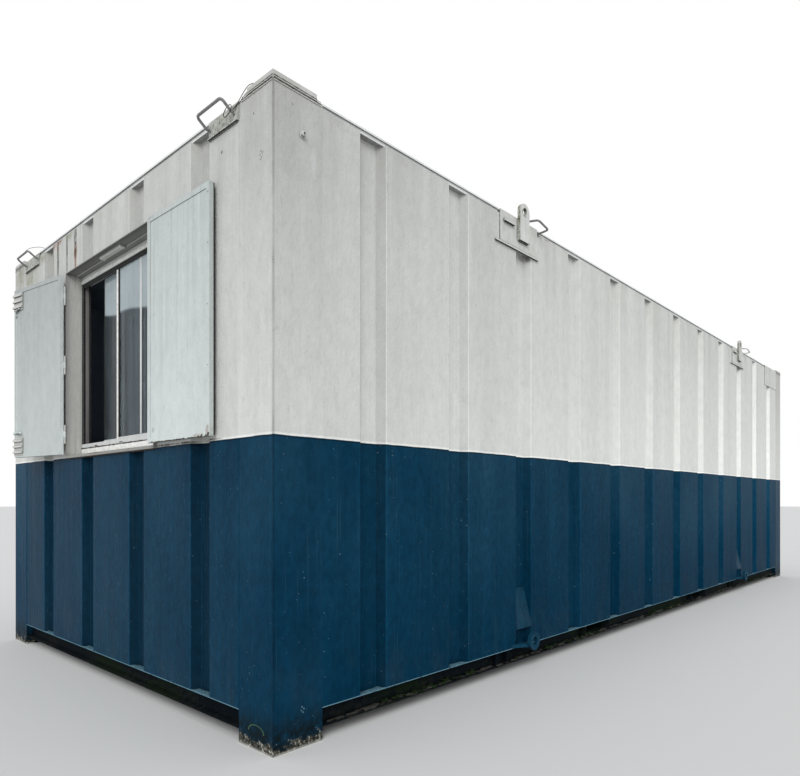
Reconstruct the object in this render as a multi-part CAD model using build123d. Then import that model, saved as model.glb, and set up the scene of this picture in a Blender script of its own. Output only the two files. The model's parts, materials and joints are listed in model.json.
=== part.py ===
"""Portable steel site cabin: corrugated walls on a channel base frame, one shuttered window.

Lengths are millimetres. +Z is up, X runs along the cabin and the window end faces -X. The
pieces are drawn about the middle of the cabin's frame, and each is then moved along X so that
the origin is on the ground under the middle of the whole, open shutters included. "Run" is
the distance along a wall from its near corner, and "out" the distance outside a wall's face.
"""
import os
from math import cos, hypot, radians, sin

from build123d import *

# Overall frame
CABIN_LENGTH = 7840.0
CABIN_WIDTH = 3010.0
ROOF_EDGE_TOP = 2574.0

# Corner posts: folded plate with inward lips, closed by a foot and a cap
POST_LONG_FACE = 242.0
POST_END_FACE = 230.0
POST_PLATE = 5.0
POST_LIP = 50.0
POST_TOP_DROP = 9.0
FOOT_PLATE = 12.0
CAP_BASE_PLATE = 12.0
CAP_BASE_LONG = 236.0
CAP_BASE_END = 208.0
CAP_TOP_PLATE = 20.0
CAP_TOP_LONG = 213.0
CAP_TOP_END = 172.0

# Base frame: outward open channels with cross members under the deck
RAIL_BOTTOM = 54.0
RAIL_HEIGHT = 80.0
RAIL_FLANGE = 45.0
RAIL_PLATE = 4.0
JOIST_COUNT = 11
JOIST_FLANGE = 40.0
JOIST_PLATE = 3.0
FORK_POCKET_WIDTH = 366.0
FORK_POCKET_PLATE = 4.0
FORK_POCKET_FROM_MIDDLE = (-1217.0, 837.0)
STIFFENER_PLATE = 8.0
STIFFENER_DEPTH = 32.0
STIFFENER_FROM_TROUGH = (-256.0, -150.0)

# Edge tubes of the roof, set back under the edge strip that lies on them
TOP_RAIL_DEPTH = 60.0
TOP_RAIL_HEIGHT = 24.0
TOP_RAIL_PLATE = 3.0
TOP_RAIL_SETBACK = 8.0
EDGE_STRIP = 8.0

# Corrugated wall sheets
FIRST_TROUGH = 451.0
TROUGH_PITCH = 610.0
TROUGH_MOUTH = 164.0
TROUGH_DEPTH = 36.0
TROUGH_FLOOR = 90.0
SHEET = 2.0

# Lining, floor and ceiling
WALL_THICKNESS = 95.0
LINING = 12.0
DECK = 22.0
CEILING_BOTTOM = 2400.0

# Roof sheet with shallow cross ribs
ROOF_SHEET = 2.0
ROOF_RIB_DEPTH = 12.0
ROOF_RIB_PITCH = 605.0
ROOF_RIB_TOP = 150.0
ROOF_RIB_SLOPE = 16.0

# Window in the -X end
WINDOW_NEAR = 930.0
WINDOW_WIDTH = 1100.0
WINDOW_SILL = 1232.0
WINDOW_HEIGHT = 1075.0
SURROUND_PLATE = 5.0
SURROUND_PROUD = 16.0
SURROUND_BACK = 118.0
SILL_LIP = 15.0
LINER_FRONT = 40.0
LINER = 8.0
FRAME_FRONT = 70.0
FRAME_DEPTH = 48.0
FRAME_FACE = 25.0
TRACK_LIP = 3.0
TRACK_LIPS = 3
TRACK_LIP_HEIGHT = 10.0
PACKER_TOP = 22.0
PACKER_BOTTOM = 46.0
SASH_RAIL = 22.0
SASH_DEPTH = 13.0
SASH_GAP = 0.3
FIXED_SASH_WIDTH = 600.0
FIXED_STILE = 30.0
SLIDING_SASH_WIDTH = 495.0
SLIDING_STILE = 23.0
SASH_OPEN = 246.0
GLASS = 6.0
LAMP_LENGTH = 255.0
LAMP_WIDTH = 28.0
LAMP_HEIGHT = 14.0
LAMP_SETBACK = 9.0
LAMP_ROUND = 5.0

# Shutters
LEAF_THICKNESS = 20.0
LEAF_EDGE_GAP = 5.0
LEAF_MEETING_GAP = 20.0
LEAF_TOP_GAP = 11.0
LEAF_BOTTOM_GAP = 6.0
LEAF_BORDER = 25.0
LEAF_RECESS = 3.0
HINGE_COUNT = 3
HINGE_STANDOFF = 5.5
HINGE_BARREL_RADIUS = 5.0
HINGE_PIN_RADIUS = 3.0
HINGE_PIN_CLEARANCE = 0.3
HINGE_KNUCKLE = 36.0
HINGE_KNUCKLE_GAP = 1.0
HINGE_STRAP = 30.0
HINGE_END_DISTANCE = 120.0
NEAR_LEAF_OPEN = 181.0
FAR_LEAF_OPEN = 170.5
LATCH_PLATE = 3.0
LATCH_WIDTH = 104.0
LATCH_PROUD = 12.0
LATCH_BAR = 12.0
LATCH_BAR_STEPS = (18.0, 54.0, 90.0)
LATCH_HEIGHT = 108.0
LATCH_FROM_TOP = 24.0
LATCH_FROM_BOTTOM = 14.0

# Door in the back wall, placed from the far lifting point
DOOR_FROM_LUG = 903.0
DOOR_WIDTH = 900.0
DOOR_HEIGHT = 2050.0
DOOR_FRAME_FACE = 50.0
DOOR_FRAME_DEPTH = 95.0
DOOR_LEAF = 45.0
DOOR_GAP = 4.0
DOOR_SETBACK = 12.0
DOOR_HINGE_COUNT = 3
DOOR_HINGE_RADIUS = 9.0
DOOR_HINGE_LENGTH = 110.0
DOOR_HINGE_PLATE = 4.0
DOOR_HINGE_END = 250.0
HANDLE_HEIGHT = 1050.0
HANDLE_PLATE = (46.0, 6.0, 210.0)
HANDLE_FROM_EDGE = 60.0
HANDLE_NECK_RADIUS = 9.0
HANDLE_REACH = 48.0
HANDLE_LEVER = 125.0

# Lifting points on both long walls, one a few troughs in from each end
LUG_TROUGH = 2
LUG_PLATE = 5.0
LUG_PLATE_NEAR = 244.0
LUG_PLATE_FAR = 140.0
LUG_PLATE_DROP = 177.0
LEDGE_HEIGHT = 9.0
LEDGE_PROUD = 12.0
LEDGE_NEAR = 295.0
LEDGE_FAR = 148.0
STEP_PROUD = 15.0
STEP_INSET = 26.0
STEP_WIDTH = 102.0
STEP_HEIGHT = 12.0
STEP_BELOW_ROOF = 48.0
LUG_OFFSET = -24.0
LUG_WIDTH = 98.0
LUG_THICKNESS = 19.0
LUG_ABOVE_ROOF = 92.0
LUG_BELOW_ROOF = 125.0
LUG_CROWN = 46.0
LUG_EYE_RADIUS = 23.0
LUG_EYE_FROM_TOP = 48.0

# Flat plate over the head of the trough nearest the far end of the front wall
COVER_NEAR = 174.0
COVER_PLATE = 4.0
COVER_DROP = 232.0

# Rod hoops at the roof edge: by each lug, and over a ledge at both window corners
ROD_RADIUS = 6.0
ROD_BEND = 16.0
LUG_HOOP_FROM_TROUGH = (54.0, 164.0)
LUG_HOOP_REACH = 66.0
LUG_HOOP_INSET = 14.0
LUG_HOOP_RISE = 26.0
LUG_HOOP_TIPS = (12.0, -10.0)
LUG_HOOP_FAR_FOOT = -14.0
LUG_HOOP_STUB = 16.0
CORNER_HOOP_RUNS = ((255.0, 441.0), (2535.0, 2745.0))
CORNER_HOOP_FOOT = 2532.0
CORNER_HOOP_BAR = 2566.0
CORNER_HOOP_OUT = 66.0
CORNER_HOOP_STUB = 14.0
ANGLE_PLATE = 5.0
ANGLE_LEG = 12.0
ANGLE_BOTTOM = 2492.0
ANGLE_MARGINS = (29.0, 8.0)

# Tie down points under the lifting points
TIE_PLATE_TOP = 462.0
TIE_PLATE_FOOT = 232.0
TIE_PLATE = 5.0
TIE_OFFSET = 11.0
TIE_EYE_RADIUS = 24.0
TIE_EYE_OUTER_RADIUS = 52.0
TIE_EYE_PLATE = 20.0
TIE_EYE_RISE = 30.0
TIE_EYE_PROUD = 50.0
TIE_ARM_PLATE = 20.0
TIE_ARM_ROOT = 110.0
TIE_ARM_TIP = 16.0
TIE_ARM_REACH = 27.0

# How far a cutting box reaches past the piece that it cuts
REACH = 300.0

RAIL_TOP = RAIL_BOTTOM + RAIL_HEIGHT
ROOF_UNDER = ROOF_EDGE_TOP - TOP_RAIL_HEIGHT
POST_TOP = ROOF_EDGE_TOP - POST_TOP_DROP
HALF_LENGTH = CABIN_LENGTH / 2
HALF_WIDTH = CABIN_WIDTH / 2
DECK_TOP = RAIL_TOP + DECK
ROOM_HALF_LENGTH = HALF_LENGTH - WALL_THICKNESS
ROOM_HALF_WIDTH = HALF_WIDTH - WALL_THICKNESS
LINING_BACK = WALL_THICKNESS - LINING
LONG_TROUGHS = int((CABIN_LENGTH - 2 * FIRST_TROUGH - TROUGH_MOUTH) // TROUGH_PITCH) + 1
END_TROUGHS = int((CABIN_WIDTH - 2 * FIRST_TROUGH - TROUGH_MOUTH) // TROUGH_PITCH) + 1
FIRST_TROUGH_MIDDLE = FIRST_TROUGH + TROUGH_MOUTH / 2 - HALF_LENGTH
LUG_TROUGH_MIDDLES = [
    FIRST_TROUGH_MIDDLE + TROUGH_PITCH * index
    for index in (LUG_TROUGH, LONG_TROUGHS - 1 - LUG_TROUGH)
]
DOOR_MIDDLE = LUG_TROUGH_MIDDLES[1] - DOOR_FROM_LUG
DOOR_LOW = DOOR_MIDDLE - DOOR_WIDTH / 2 - DOOR_FRAME_FACE
DOOR_HIGH = DOOR_MIDDLE + DOOR_WIDTH / 2 + DOOR_FRAME_FACE
DOOR_TOP = RAIL_TOP + DOOR_HEIGHT + DOOR_FRAME_FACE
WINDOW_FAR = WINDOW_NEAR + WINDOW_WIDTH
WINDOW_TOP = WINDOW_SILL + WINDOW_HEIGHT
CUT_RUN = (WINDOW_NEAR - SURROUND_PLATE, WINDOW_FAR + SURROUND_PLATE)
CUT_Z = (WINDOW_SILL - SILL_LIP, WINDOW_TOP + SURROUND_PLATE)
LEAF_WIDTH = WINDOW_WIDTH / 2 - LEAF_EDGE_GAP - LEAF_MEETING_GAP / 2
LEAF_Z = (WINDOW_SILL + LEAF_BOTTOM_GAP, WINDOW_TOP - LEAF_TOP_GAP)
HINGE_OUT = SURROUND_PROUD + HINGE_STANDOFF
FAR_LEAF_TURN = radians(180 - FAR_LEAF_OPEN)
FAR_LEAF_REACH = (
    HINGE_OUT
    + (LEAF_EDGE_GAP + LEAF_WIDTH) * sin(FAR_LEAF_TURN)
    + (HINGE_STANDOFF + LEAF_THICKNESS + LATCH_PROUD) * cos(FAR_LEAF_TURN)
)
ORIGIN_SHIFT = FAR_LEAF_REACH / 2


def slab(x, y, z):
    """A box from three (low, high) pairs."""
    size = [high - low for low, high in (x, y, z)]
    middle = [(low + high) / 2 for low, high in (x, y, z)]
    return Pos(*middle) * Box(*size)


def end_slab(out, run, z):
    """A box on the window end: out of the wall, run from the near corner, height."""
    x = (-HALF_LENGTH - out[1], -HALF_LENGTH - out[0])
    y = (-HALF_WIDTH + run[0], -HALF_WIDTH + run[1])
    return slab(x, y, z)


def end_point(out, run, z):
    return (-HALF_LENGTH - out, -HALF_WIDTH + run, z)


def tube(x, y, z, axis, wall):
    """A rectangular tube: a box with a smaller box taken out along one axis."""
    inner = []
    for name, (low, high) in zip("XYZ", (x, y, z)):
        inner.append((low - wall, high + wall) if name == axis else (low + wall, high - wall))
    return slab(x, y, z) - slab(*inner)


def across(solids):
    """The same pieces mirrored to the other long side."""
    return [mirror(solid, Plane.XZ) for solid in solids]


def along(solids):
    """The same pieces mirrored to the other end."""
    return [mirror(solid, Plane.YZ) for solid in solids]


def corners(solid):
    """The same piece at all four corners of the cabin."""
    pair = [solid] + across([solid])
    return pair + along(pair)


def prism(points, height):
    """An outline in plan pulled up."""
    return extrude(make_face(Polyline(*points, close=True)), height, dir=(0, 0, 1))


def rod(*points):
    """Round rod bent along a line of points, with the same radius at every bend."""
    path = FilletPolyline(*points, radius=ROD_BEND)
    return sweep(Plane(path @ 0, z_dir=path % 0) * Circle(ROD_RADIUS), path=path)


def write(name, solids):
    """One file for a node; solids that share a node don't touch."""
    moved = [Pos(ORIGIN_SHIFT, 0, 0) * solid for solid in solids]
    shape = moved[0] if len(moved) == 1 else Compound(children=moved)
    export_step(shape, os.path.join("parts", name + ".step"))


def corrugated(length, trough_starts, height):
    """A folded sheet with its outer face on y = 0, troughs going to +Y, run along X."""
    web = (TROUGH_MOUTH - TROUGH_FLOOR) / 2
    shift = SHEET * (hypot(web, TROUGH_DEPTH) - web) / TROUGH_DEPTH
    outer = [(0.0, 0.0)]
    inner = [(0.0, SHEET)]
    for start in trough_starts:
        for run, depth, side in (
            (start, 0.0, -1),
            (start + web, TROUGH_DEPTH, -1),
            (start + TROUGH_MOUTH - web, TROUGH_DEPTH, 1),
            (start + TROUGH_MOUTH, 0.0, 1),
        ):
            outer.append((run, depth))
            inner.append((run + side * shift, depth + SHEET))
    outer.append((length, 0.0))
    inner.append((length, SHEET))
    return prism(outer + inner[::-1], height)


def wall_sheet(length, post_face, count):
    """A wall's sheet between its posts, with the run measured from the near corner."""
    starts = [FIRST_TROUGH - post_face + TROUGH_PITCH * i for i in range(count)]
    sheet = corrugated(length - 2 * post_face, starts, ROOF_UNDER - RAIL_TOP)
    return Pos(post_face, 0, RAIL_TOP) * sheet


def channel(length):
    """A base rail's channel along X: web inside, open to -Y, flanges top and bottom."""
    body = slab((0, length), (0, RAIL_FLANGE), (RAIL_BOTTOM, RAIL_TOP))
    hollow = slab(
        (-REACH, length + REACH),
        (-REACH, RAIL_FLANGE - RAIL_PLATE),
        (RAIL_BOTTOM + RAIL_PLATE, RAIL_TOP - RAIL_PLATE),
    )
    return body - hollow


def base_frame():
    """Rails in lengths between posts and fork pockets, joists, stiffeners and the deck."""
    stops = [POST_LONG_FACE - HALF_LENGTH]
    for middle in FORK_POCKET_FROM_MIDDLE:
        stops += [middle - FORK_POCKET_WIDTH / 2, middle + FORK_POCKET_WIDTH / 2]
    stops.append(HALF_LENGTH - POST_LONG_FACE)
    front = [
        Pos(low, -HALF_WIDTH, 0) * channel(high - low)
        for low, high in zip(stops[::2], stops[1::2])
    ]
    end = channel(CABIN_WIDTH - 2 * POST_END_FACE)
    end = Rot(0, 0, 90) * (Pos(-HALF_WIDTH + POST_END_FACE, -HALF_LENGTH, 0) * end)
    pockets = []
    for low, high in zip(stops[1:-1:2], stops[2:-1:2]):
        pockets.append(tube(
            (low, high), (-HALF_WIDTH, HALF_WIDTH), (RAIL_BOTTOM, RAIL_TOP), "Y",
            FORK_POCKET_PLATE,
        ))
    stiffeners = []
    for trough in LUG_TROUGH_MIDDLES:
        for offset in STIFFENER_FROM_TROUGH:
            x = (trough + offset - STIFFENER_PLATE / 2, trough + offset + STIFFENER_PLATE / 2)
            back = -HALF_WIDTH + RAIL_FLANGE - RAIL_PLATE
            y = (back - STIFFENER_DEPTH, back)
            stiffeners.append(slab(x, y, (RAIL_BOTTOM + RAIL_PLATE, RAIL_TOP - RAIL_PLATE)))
    deck = slab(
        (-HALF_LENGTH + LINING_BACK, HALF_LENGTH - LINING_BACK),
        (-HALF_WIDTH + LINING_BACK, HALF_WIDTH - LINING_BACK),
        (RAIL_TOP, DECK_TOP),
    )
    return {
        "base_rails": front + across(front) + [end] + along([end]),
        "fork_pockets": pockets,
        "floor_joists": joists(),
        "rail_stiffeners": stiffeners + across(stiffeners),
        "floor_deck": [deck],
    }


def joists():
    """Cross members between the long rails, left out where a fork pocket takes the place."""
    inside = HALF_WIDTH - RAIL_FLANGE
    pieces = []
    for index in range(JOIST_COUNT):
        middle = CABIN_LENGTH * (index + 1) / (JOIST_COUNT + 1) - HALF_LENGTH
        clear = (FORK_POCKET_WIDTH + JOIST_FLANGE) / 2
        if any(abs(middle - pocket) < clear for pocket in FORK_POCKET_FROM_MIDDLE):
            continue
        low = middle - JOIST_FLANGE / 2
        body = slab((low, low + JOIST_FLANGE), (-inside, inside), (RAIL_BOTTOM, RAIL_TOP))
        hollow = slab(
            (low + JOIST_PLATE, low + REACH),
            (-inside - REACH, inside + REACH),
            (RAIL_BOTTOM + JOIST_PLATE, RAIL_TOP - JOIST_PLATE),
        )
        pieces.append(body - hollow)
    return pieces


def corner_pieces():
    """Posts folded as an angle with a lip at each end, foot plates and stepped caps."""
    a, b, t, lip = POST_LONG_FACE, POST_END_FACE, POST_PLATE, POST_LIP
    outline = [
        (0, 0), (a, 0), (a, lip), (a - t, lip), (a - t, t), (t, t),
        (t, b - t), (lip, b - t), (lip, b), (0, b),
    ]
    base_top = POST_TOP + CAP_BASE_PLATE
    cap = slab((0, CAP_BASE_LONG), (0, CAP_BASE_END), (POST_TOP, base_top))
    cap += slab((0, CAP_TOP_LONG), (0, CAP_TOP_END), (base_top, base_top + CAP_TOP_PLATE))
    place = Pos(-HALF_LENGTH, -HALF_WIDTH, 0)
    return {
        "corner_posts": corners(place * prism(outline, POST_TOP)),
        "corner_feet": corners(place * slab((t, a - t), (t, b - t), (0, FOOT_PLATE))),
        "corner_caps": corners(place * cap),
    }


def walls():
    """The sheets of all four walls, cut round the door and the window."""
    front = wall_sheet(CABIN_LENGTH, POST_LONG_FACE, LONG_TROUGHS)
    front = Pos(-HALF_LENGTH, -HALF_WIDTH, 0) * front
    back = mirror(front, Plane.XZ)
    far_end = wall_sheet(CABIN_WIDTH, POST_END_FACE, END_TROUGHS)
    far_end = Rot(0, 0, 90) * (Pos(-HALF_WIDTH, -HALF_LENGTH, 0) * far_end)
    end = mirror(far_end, Plane.YZ)
    depth = (HALF_WIDTH - WALL_THICKNESS, HALF_WIDTH + REACH)
    whole = (0, ROOF_EDGE_TOP)
    out = (-WALL_THICKNESS, REACH)
    return {
        "front_wall": [front],
        "far_end_wall": [far_end],
        "back_wall_left": [back & slab((DOOR_HIGH, HALF_LENGTH), depth, whole)],
        "back_wall_right": [back & slab((-HALF_LENGTH, DOOR_LOW), depth, whole)],
        "back_wall_over_door": [
            back & slab((DOOR_LOW, DOOR_HIGH), depth, (DOOR_TOP, ROOF_EDGE_TOP))
        ],
        "window_wall_sides": [
            end & end_slab(out, (0, CUT_RUN[0]), whole),
            end & end_slab(out, (CUT_RUN[1], CABIN_WIDTH), whole),
        ],
        "window_wall_bands": [
            end & end_slab(out, CUT_RUN, (0, CUT_Z[0])),
            end & end_slab(out, CUT_RUN, (CUT_Z[1], ROOF_EDGE_TOP)),
        ],
    }


def roof():
    """Edge tubes and strips between the posts, the ribbed sheet and the ceiling."""
    x = HALF_LENGTH - POST_LONG_FACE
    y = HALF_WIDTH - POST_END_FACE
    strip_z = (ROOF_EDGE_TOP - EDGE_STRIP, ROOF_EDGE_TOP)
    z = (ROOF_UNDER, strip_z[0])
    edges = []
    for half, edge, axis in ((HALF_WIDTH, x, "X"), (HALF_LENGTH, y, "Y")):
        length = (-edge, edge)
        strip = (-half, -half + TOP_RAIL_DEPTH)
        rail = (strip[0] + TOP_RAIL_SETBACK, strip[1])
        if axis == "X":
            piece = tube(length, rail, z, axis, TOP_RAIL_PLATE) + slab(length, strip, strip_z)
        else:
            piece = tube(rail, length, z, axis, TOP_RAIL_PLATE) + slab(strip, length, strip_z)
        edges.append(piece)
    front, end = edges
    ceiling = slab(
        (-HALF_LENGTH + LINING_BACK, HALF_LENGTH - LINING_BACK),
        (-HALF_WIDTH + LINING_BACK, HALF_WIDTH - LINING_BACK),
        (CEILING_BOTTOM, CEILING_BOTTOM + LINING),
    )
    return {
        "top_rails": [front] + across([front]) + [end] + along([end]),
        "roof_sheet": [roof_sheet()],
        "ceiling": [ceiling],
    }


def roof_sheet():
    """A sheet between the edge tubes with shallow ribs across the cabin."""
    half_x = HALF_LENGTH - TOP_RAIL_DEPTH
    half_y = HALF_WIDTH - TOP_RAIL_DEPTH
    count = int((2 * half_x - ROOF_RIB_TOP) // ROOF_RIB_PITCH)
    shift = ROOF_SHEET * (hypot(ROOF_RIB_SLOPE, ROOF_RIB_DEPTH) - ROOF_RIB_SLOPE) / ROOF_RIB_DEPTH
    upper, lower = [(-half_x, 0.0)], [(-half_x, -ROOF_SHEET)]
    for index in range(count + 1):
        middle = (index - count / 2) * ROOF_RIB_PITCH
        for side in (-1, 1):
            top = middle + side * ROOF_RIB_TOP / 2
            steps = [(top + side * ROOF_RIB_SLOPE, 0.0), (top, ROOF_RIB_DEPTH)]
            for run, rise in steps[::-side]:
                upper.append((run, rise))
                lower.append((run - side * shift, rise - ROOF_SHEET))
    upper.append((half_x, 0.0))
    lower.append((half_x, -ROOF_SHEET))
    profile = make_face(Plane.XZ * Polyline(*(upper + lower[::-1]), close=True))
    sheet = extrude(profile, 2 * half_y, dir=(0, 1, 0))
    return Pos(0, -half_y, ROOF_UNDER + ROOF_SHEET) * sheet


def linings():
    """Boards inside the four walls, from the deck to the ceiling, cut at door and window."""
    z = (DECK_TOP, CEILING_BOTTOM)
    front_y = (-HALF_WIDTH + LINING_BACK, -ROOM_HALF_WIDTH)
    front = slab((-HALF_LENGTH + LINING_BACK, HALF_LENGTH - LINING_BACK), front_y, z)
    back = mirror(front, Plane.XZ)
    inside = (ROOM_HALF_WIDTH, HALF_WIDTH)
    end_x = (-HALF_LENGTH + LINING_BACK, -ROOM_HALF_LENGTH)
    end = slab(end_x, (-ROOM_HALF_WIDTH, ROOM_HALF_WIDTH), z)
    return {
        "front_lining": [front],
        "back_lining": [
            back & slab((-HALF_LENGTH, DOOR_LOW), inside, z),
            back & slab((DOOR_HIGH, HALF_LENGTH), inside, z),
        ],
        "lining_over_door": [
            back & slab((DOOR_LOW, DOOR_HIGH), inside, (DOOR_TOP, CEILING_BOTTOM))
        ],
        "end_linings": [end - end_slab((-REACH, 0), CUT_RUN, CUT_Z), mirror(end, Plane.YZ)],
    }


def sash(out, run, z, stile, stile_at_far):
    """A sash with a rail above and below and one stile; its pane fills the rest."""
    inner_z = (z[0] + SASH_RAIL, z[1] - SASH_RAIL)
    pane = (run[0], run[1] - stile) if stile_at_far else (run[0] + stile, run[1])
    middle = sum(out) / 2
    glass = end_slab((middle - GLASS / 2, middle + GLASS / 2), pane, inner_z)
    return end_slab(out, run, z) - end_slab(out, pane, inner_z), glass


def window():
    """Surround through the wall, liner, packers, two-track frame, both sashes and a lamp."""
    opening = (WINDOW_NEAR, WINDOW_FAR)
    opening_z = (WINDOW_SILL, WINDOW_TOP)
    through = (-REACH, REACH)
    surround = end_slab((-SURROUND_BACK, SURROUND_PROUD), CUT_RUN, CUT_Z)
    surround -= end_slab(through, opening, opening_z)
    liner = end_slab((-FRAME_FRONT, -LINER_FRONT), opening, opening_z)
    liner -= end_slab(
        through,
        (WINDOW_NEAR + LINER, WINDOW_FAR - LINER),
        (WINDOW_SILL + LINER, WINDOW_TOP - LINER),
    )
    frame_out = (-FRAME_FRONT - FRAME_DEPTH, -FRAME_FRONT)
    frame_z = (WINDOW_SILL + PACKER_BOTTOM, WINDOW_TOP - PACKER_TOP)
    packers = [
        end_slab(frame_out, opening, (frame_z[1], WINDOW_TOP)),
        end_slab(frame_out, opening, (WINDOW_SILL, frame_z[0])),
    ]
    face = FRAME_FACE - TRACK_LIP_HEIGHT
    bed_run = (WINDOW_NEAR + face, WINDOW_FAR - face)
    bed_z = (frame_z[0] + face, frame_z[1] - face)
    frame = end_slab(frame_out, opening, frame_z) - end_slab(through, bed_run, bed_z)
    clear_run = (WINDOW_NEAR + FRAME_FACE, WINDOW_FAR - FRAME_FACE)
    clear_z = (frame_z[0] + FRAME_FACE, frame_z[1] - FRAME_FACE)
    track = (FRAME_DEPTH - TRACK_LIP) / 2
    for index in range(TRACK_LIPS):
        lip_out = (-FRAME_FRONT - TRACK_LIP - track * index, -FRAME_FRONT - track * index)
        frame += end_slab(lip_out, bed_run, bed_z) - end_slab(through, clear_run, clear_z)
    sash_z = (bed_z[0] + SASH_GAP, bed_z[1] - SASH_GAP)
    nodes = {}
    fixed_run = (bed_run[0] + SASH_GAP, bed_run[0] + SASH_GAP + FIXED_SASH_WIDTH)
    slide_far = bed_run[1] - SASH_GAP - SASH_OPEN
    slide_run = (slide_far - SLIDING_SASH_WIDTH, slide_far)
    for name, index, run, stile, at_far in (
        ("fixed_sash", 0, fixed_run, FIXED_STILE, True),
        ("sliding_sash", 1, slide_run, SLIDING_STILE, False),
    ):
        middle = -FRAME_FRONT - (TRACK_LIP + track) / 2 - track * index
        out = (middle - SASH_DEPTH / 2, middle + SASH_DEPTH / 2)
        solid, glass = sash(out, run, sash_z, stile, at_far)
        nodes[name], nodes[name + "_glass"] = [solid], [glass]
    lamp_run = sum(opening) / 2
    lamp = end_slab(
        (-LAMP_SETBACK - LAMP_WIDTH, -LAMP_SETBACK),
        (lamp_run - LAMP_LENGTH / 2, lamp_run + LAMP_LENGTH / 2),
        (WINDOW_TOP - LAMP_HEIGHT, WINDOW_TOP),
    )
    lamp = fillet(lamp.edges().filter_by(Axis.Y).group_by(Axis.Z)[0], LAMP_ROUND)
    nodes.update({
        "window_surround": [surround],
        "reveal_liner": [liner],
        "window_packers": packers,
        "window_frame": [frame],
        "soffit_lamp": [lamp],
    })
    return nodes


def barrel(run, height, length, radius):
    return Pos(*end_point(HINGE_OUT, run, height)) * Cylinder(radius, length)


def hinge_heights():
    low, high = LEAF_Z[0] + HINGE_END_DISTANCE, LEAF_Z[1] - HINGE_END_DISTANCE
    return [low + (high - low) * index / (HINGE_COUNT - 1) for index in range(HINGE_COUNT)]


def shutter_leaf():
    """The near leaf, shut, with its middle knuckles; run zero is on the hinge line."""
    near, far = LEAF_EDGE_GAP, LEAF_EDGE_GAP + LEAF_WIDTH
    out = (SURROUND_PROUD - LEAF_THICKNESS, SURROUND_PROUD)
    leaf = end_slab(out, (near, far), LEAF_Z)
    inner = (near + LEAF_BORDER, far - LEAF_BORDER)
    inner_z = (LEAF_Z[0] + LEAF_BORDER, LEAF_Z[1] - LEAF_BORDER)
    leaf -= end_slab((out[0] - REACH, out[0] + LEAF_RECESS), inner, inner_z)
    for height in hinge_heights():
        z = (height - HINGE_KNUCKLE / 2, height + HINGE_KNUCKLE / 2)
        bore = HINGE_PIN_RADIUS + HINGE_PIN_CLEARANCE
        strap = end_slab((SURROUND_PROUD, HINGE_OUT), (0, near + HINGE_STRAP), z)
        leaf += strap + barrel(0, height, HINGE_KNUCKLE, HINGE_BARREL_RADIUS)
        leaf -= barrel(0, height, 2 * HINGE_KNUCKLE, bore)
    return leaf


def latches():
    """Bolt keepers inside the near leaf's free edge: a plate with three bars, top and bottom."""
    far = LEAF_EDGE_GAP + LEAF_WIDTH
    face = SURROUND_PROUD - LEAF_THICKNESS
    pieces = []
    for low in (LEAF_Z[1] - LATCH_FROM_TOP - LATCH_HEIGHT, LEAF_Z[0] + LATCH_FROM_BOTTOM):
        run = (far - LATCH_WIDTH, far)
        keeper = end_slab((face - LATCH_PLATE, face), run, (low, low + LATCH_HEIGHT))
        for step in LATCH_BAR_STEPS:
            z = (low + step - LATCH_BAR / 2, low + step + LATCH_BAR / 2)
            keeper += end_slab((face - LATCH_PROUD, face), run, z)
        pieces.append(keeper)
    return pieces


def frame_hinges(run, side):
    """Pin and outer knuckles of one leaf's hinges, welded to the surround's front edge."""
    pieces = []
    for height in hinge_heights():
        offset = HINGE_KNUCKLE + HINGE_KNUCKLE_GAP
        piece = barrel(run, height, 2 * offset + HINGE_KNUCKLE, HINGE_PIN_RADIUS)
        for step in (-offset, offset):
            middle = height + step
            z = (middle - HINGE_KNUCKLE / 2, middle + HINGE_KNUCKLE / 2)
            runs = sorted((run, run - side * SURROUND_PLATE))
            piece += barrel(run, middle, HINGE_KNUCKLE, HINGE_BARREL_RADIUS)
            piece += end_slab((SURROUND_PROUD, HINGE_OUT), runs, z)
        pieces.append(piece)
    return pieces


def swung(solid, run, angle):
    """A leaf turned about its hinge line to the angle it stands open."""
    x, y, z = end_point(HINGE_OUT, run, 0)
    return Pos(x, y, z) * Rot(0, 0, angle) * Pos(-x, -y, -z) * solid


def shutters():
    """Both leaves as they stand open, with the far one's keepers and all frame hinges."""
    near = Pos(0, WINDOW_NEAR, 0) * shutter_leaf()
    far_place = Pos(0, WINDOW_FAR - CABIN_WIDTH, 0)
    far = far_place * mirror(shutter_leaf(), Plane.XZ)
    keepers = [far_place * mirror(piece, Plane.XZ) for piece in latches()]
    return {
        "near_shutter": [swung(near, WINDOW_NEAR, NEAR_LEAF_OPEN)],
        "far_shutter": [swung(far, WINDOW_FAR, -FAR_LEAF_OPEN)],
        "shutter_latches": [swung(piece, WINDOW_FAR, -FAR_LEAF_OPEN) for piece in keepers],
        "shutter_hinges": frame_hinges(WINDOW_NEAR, 1) + frame_hinges(WINDOW_FAR, -1),
    }


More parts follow.
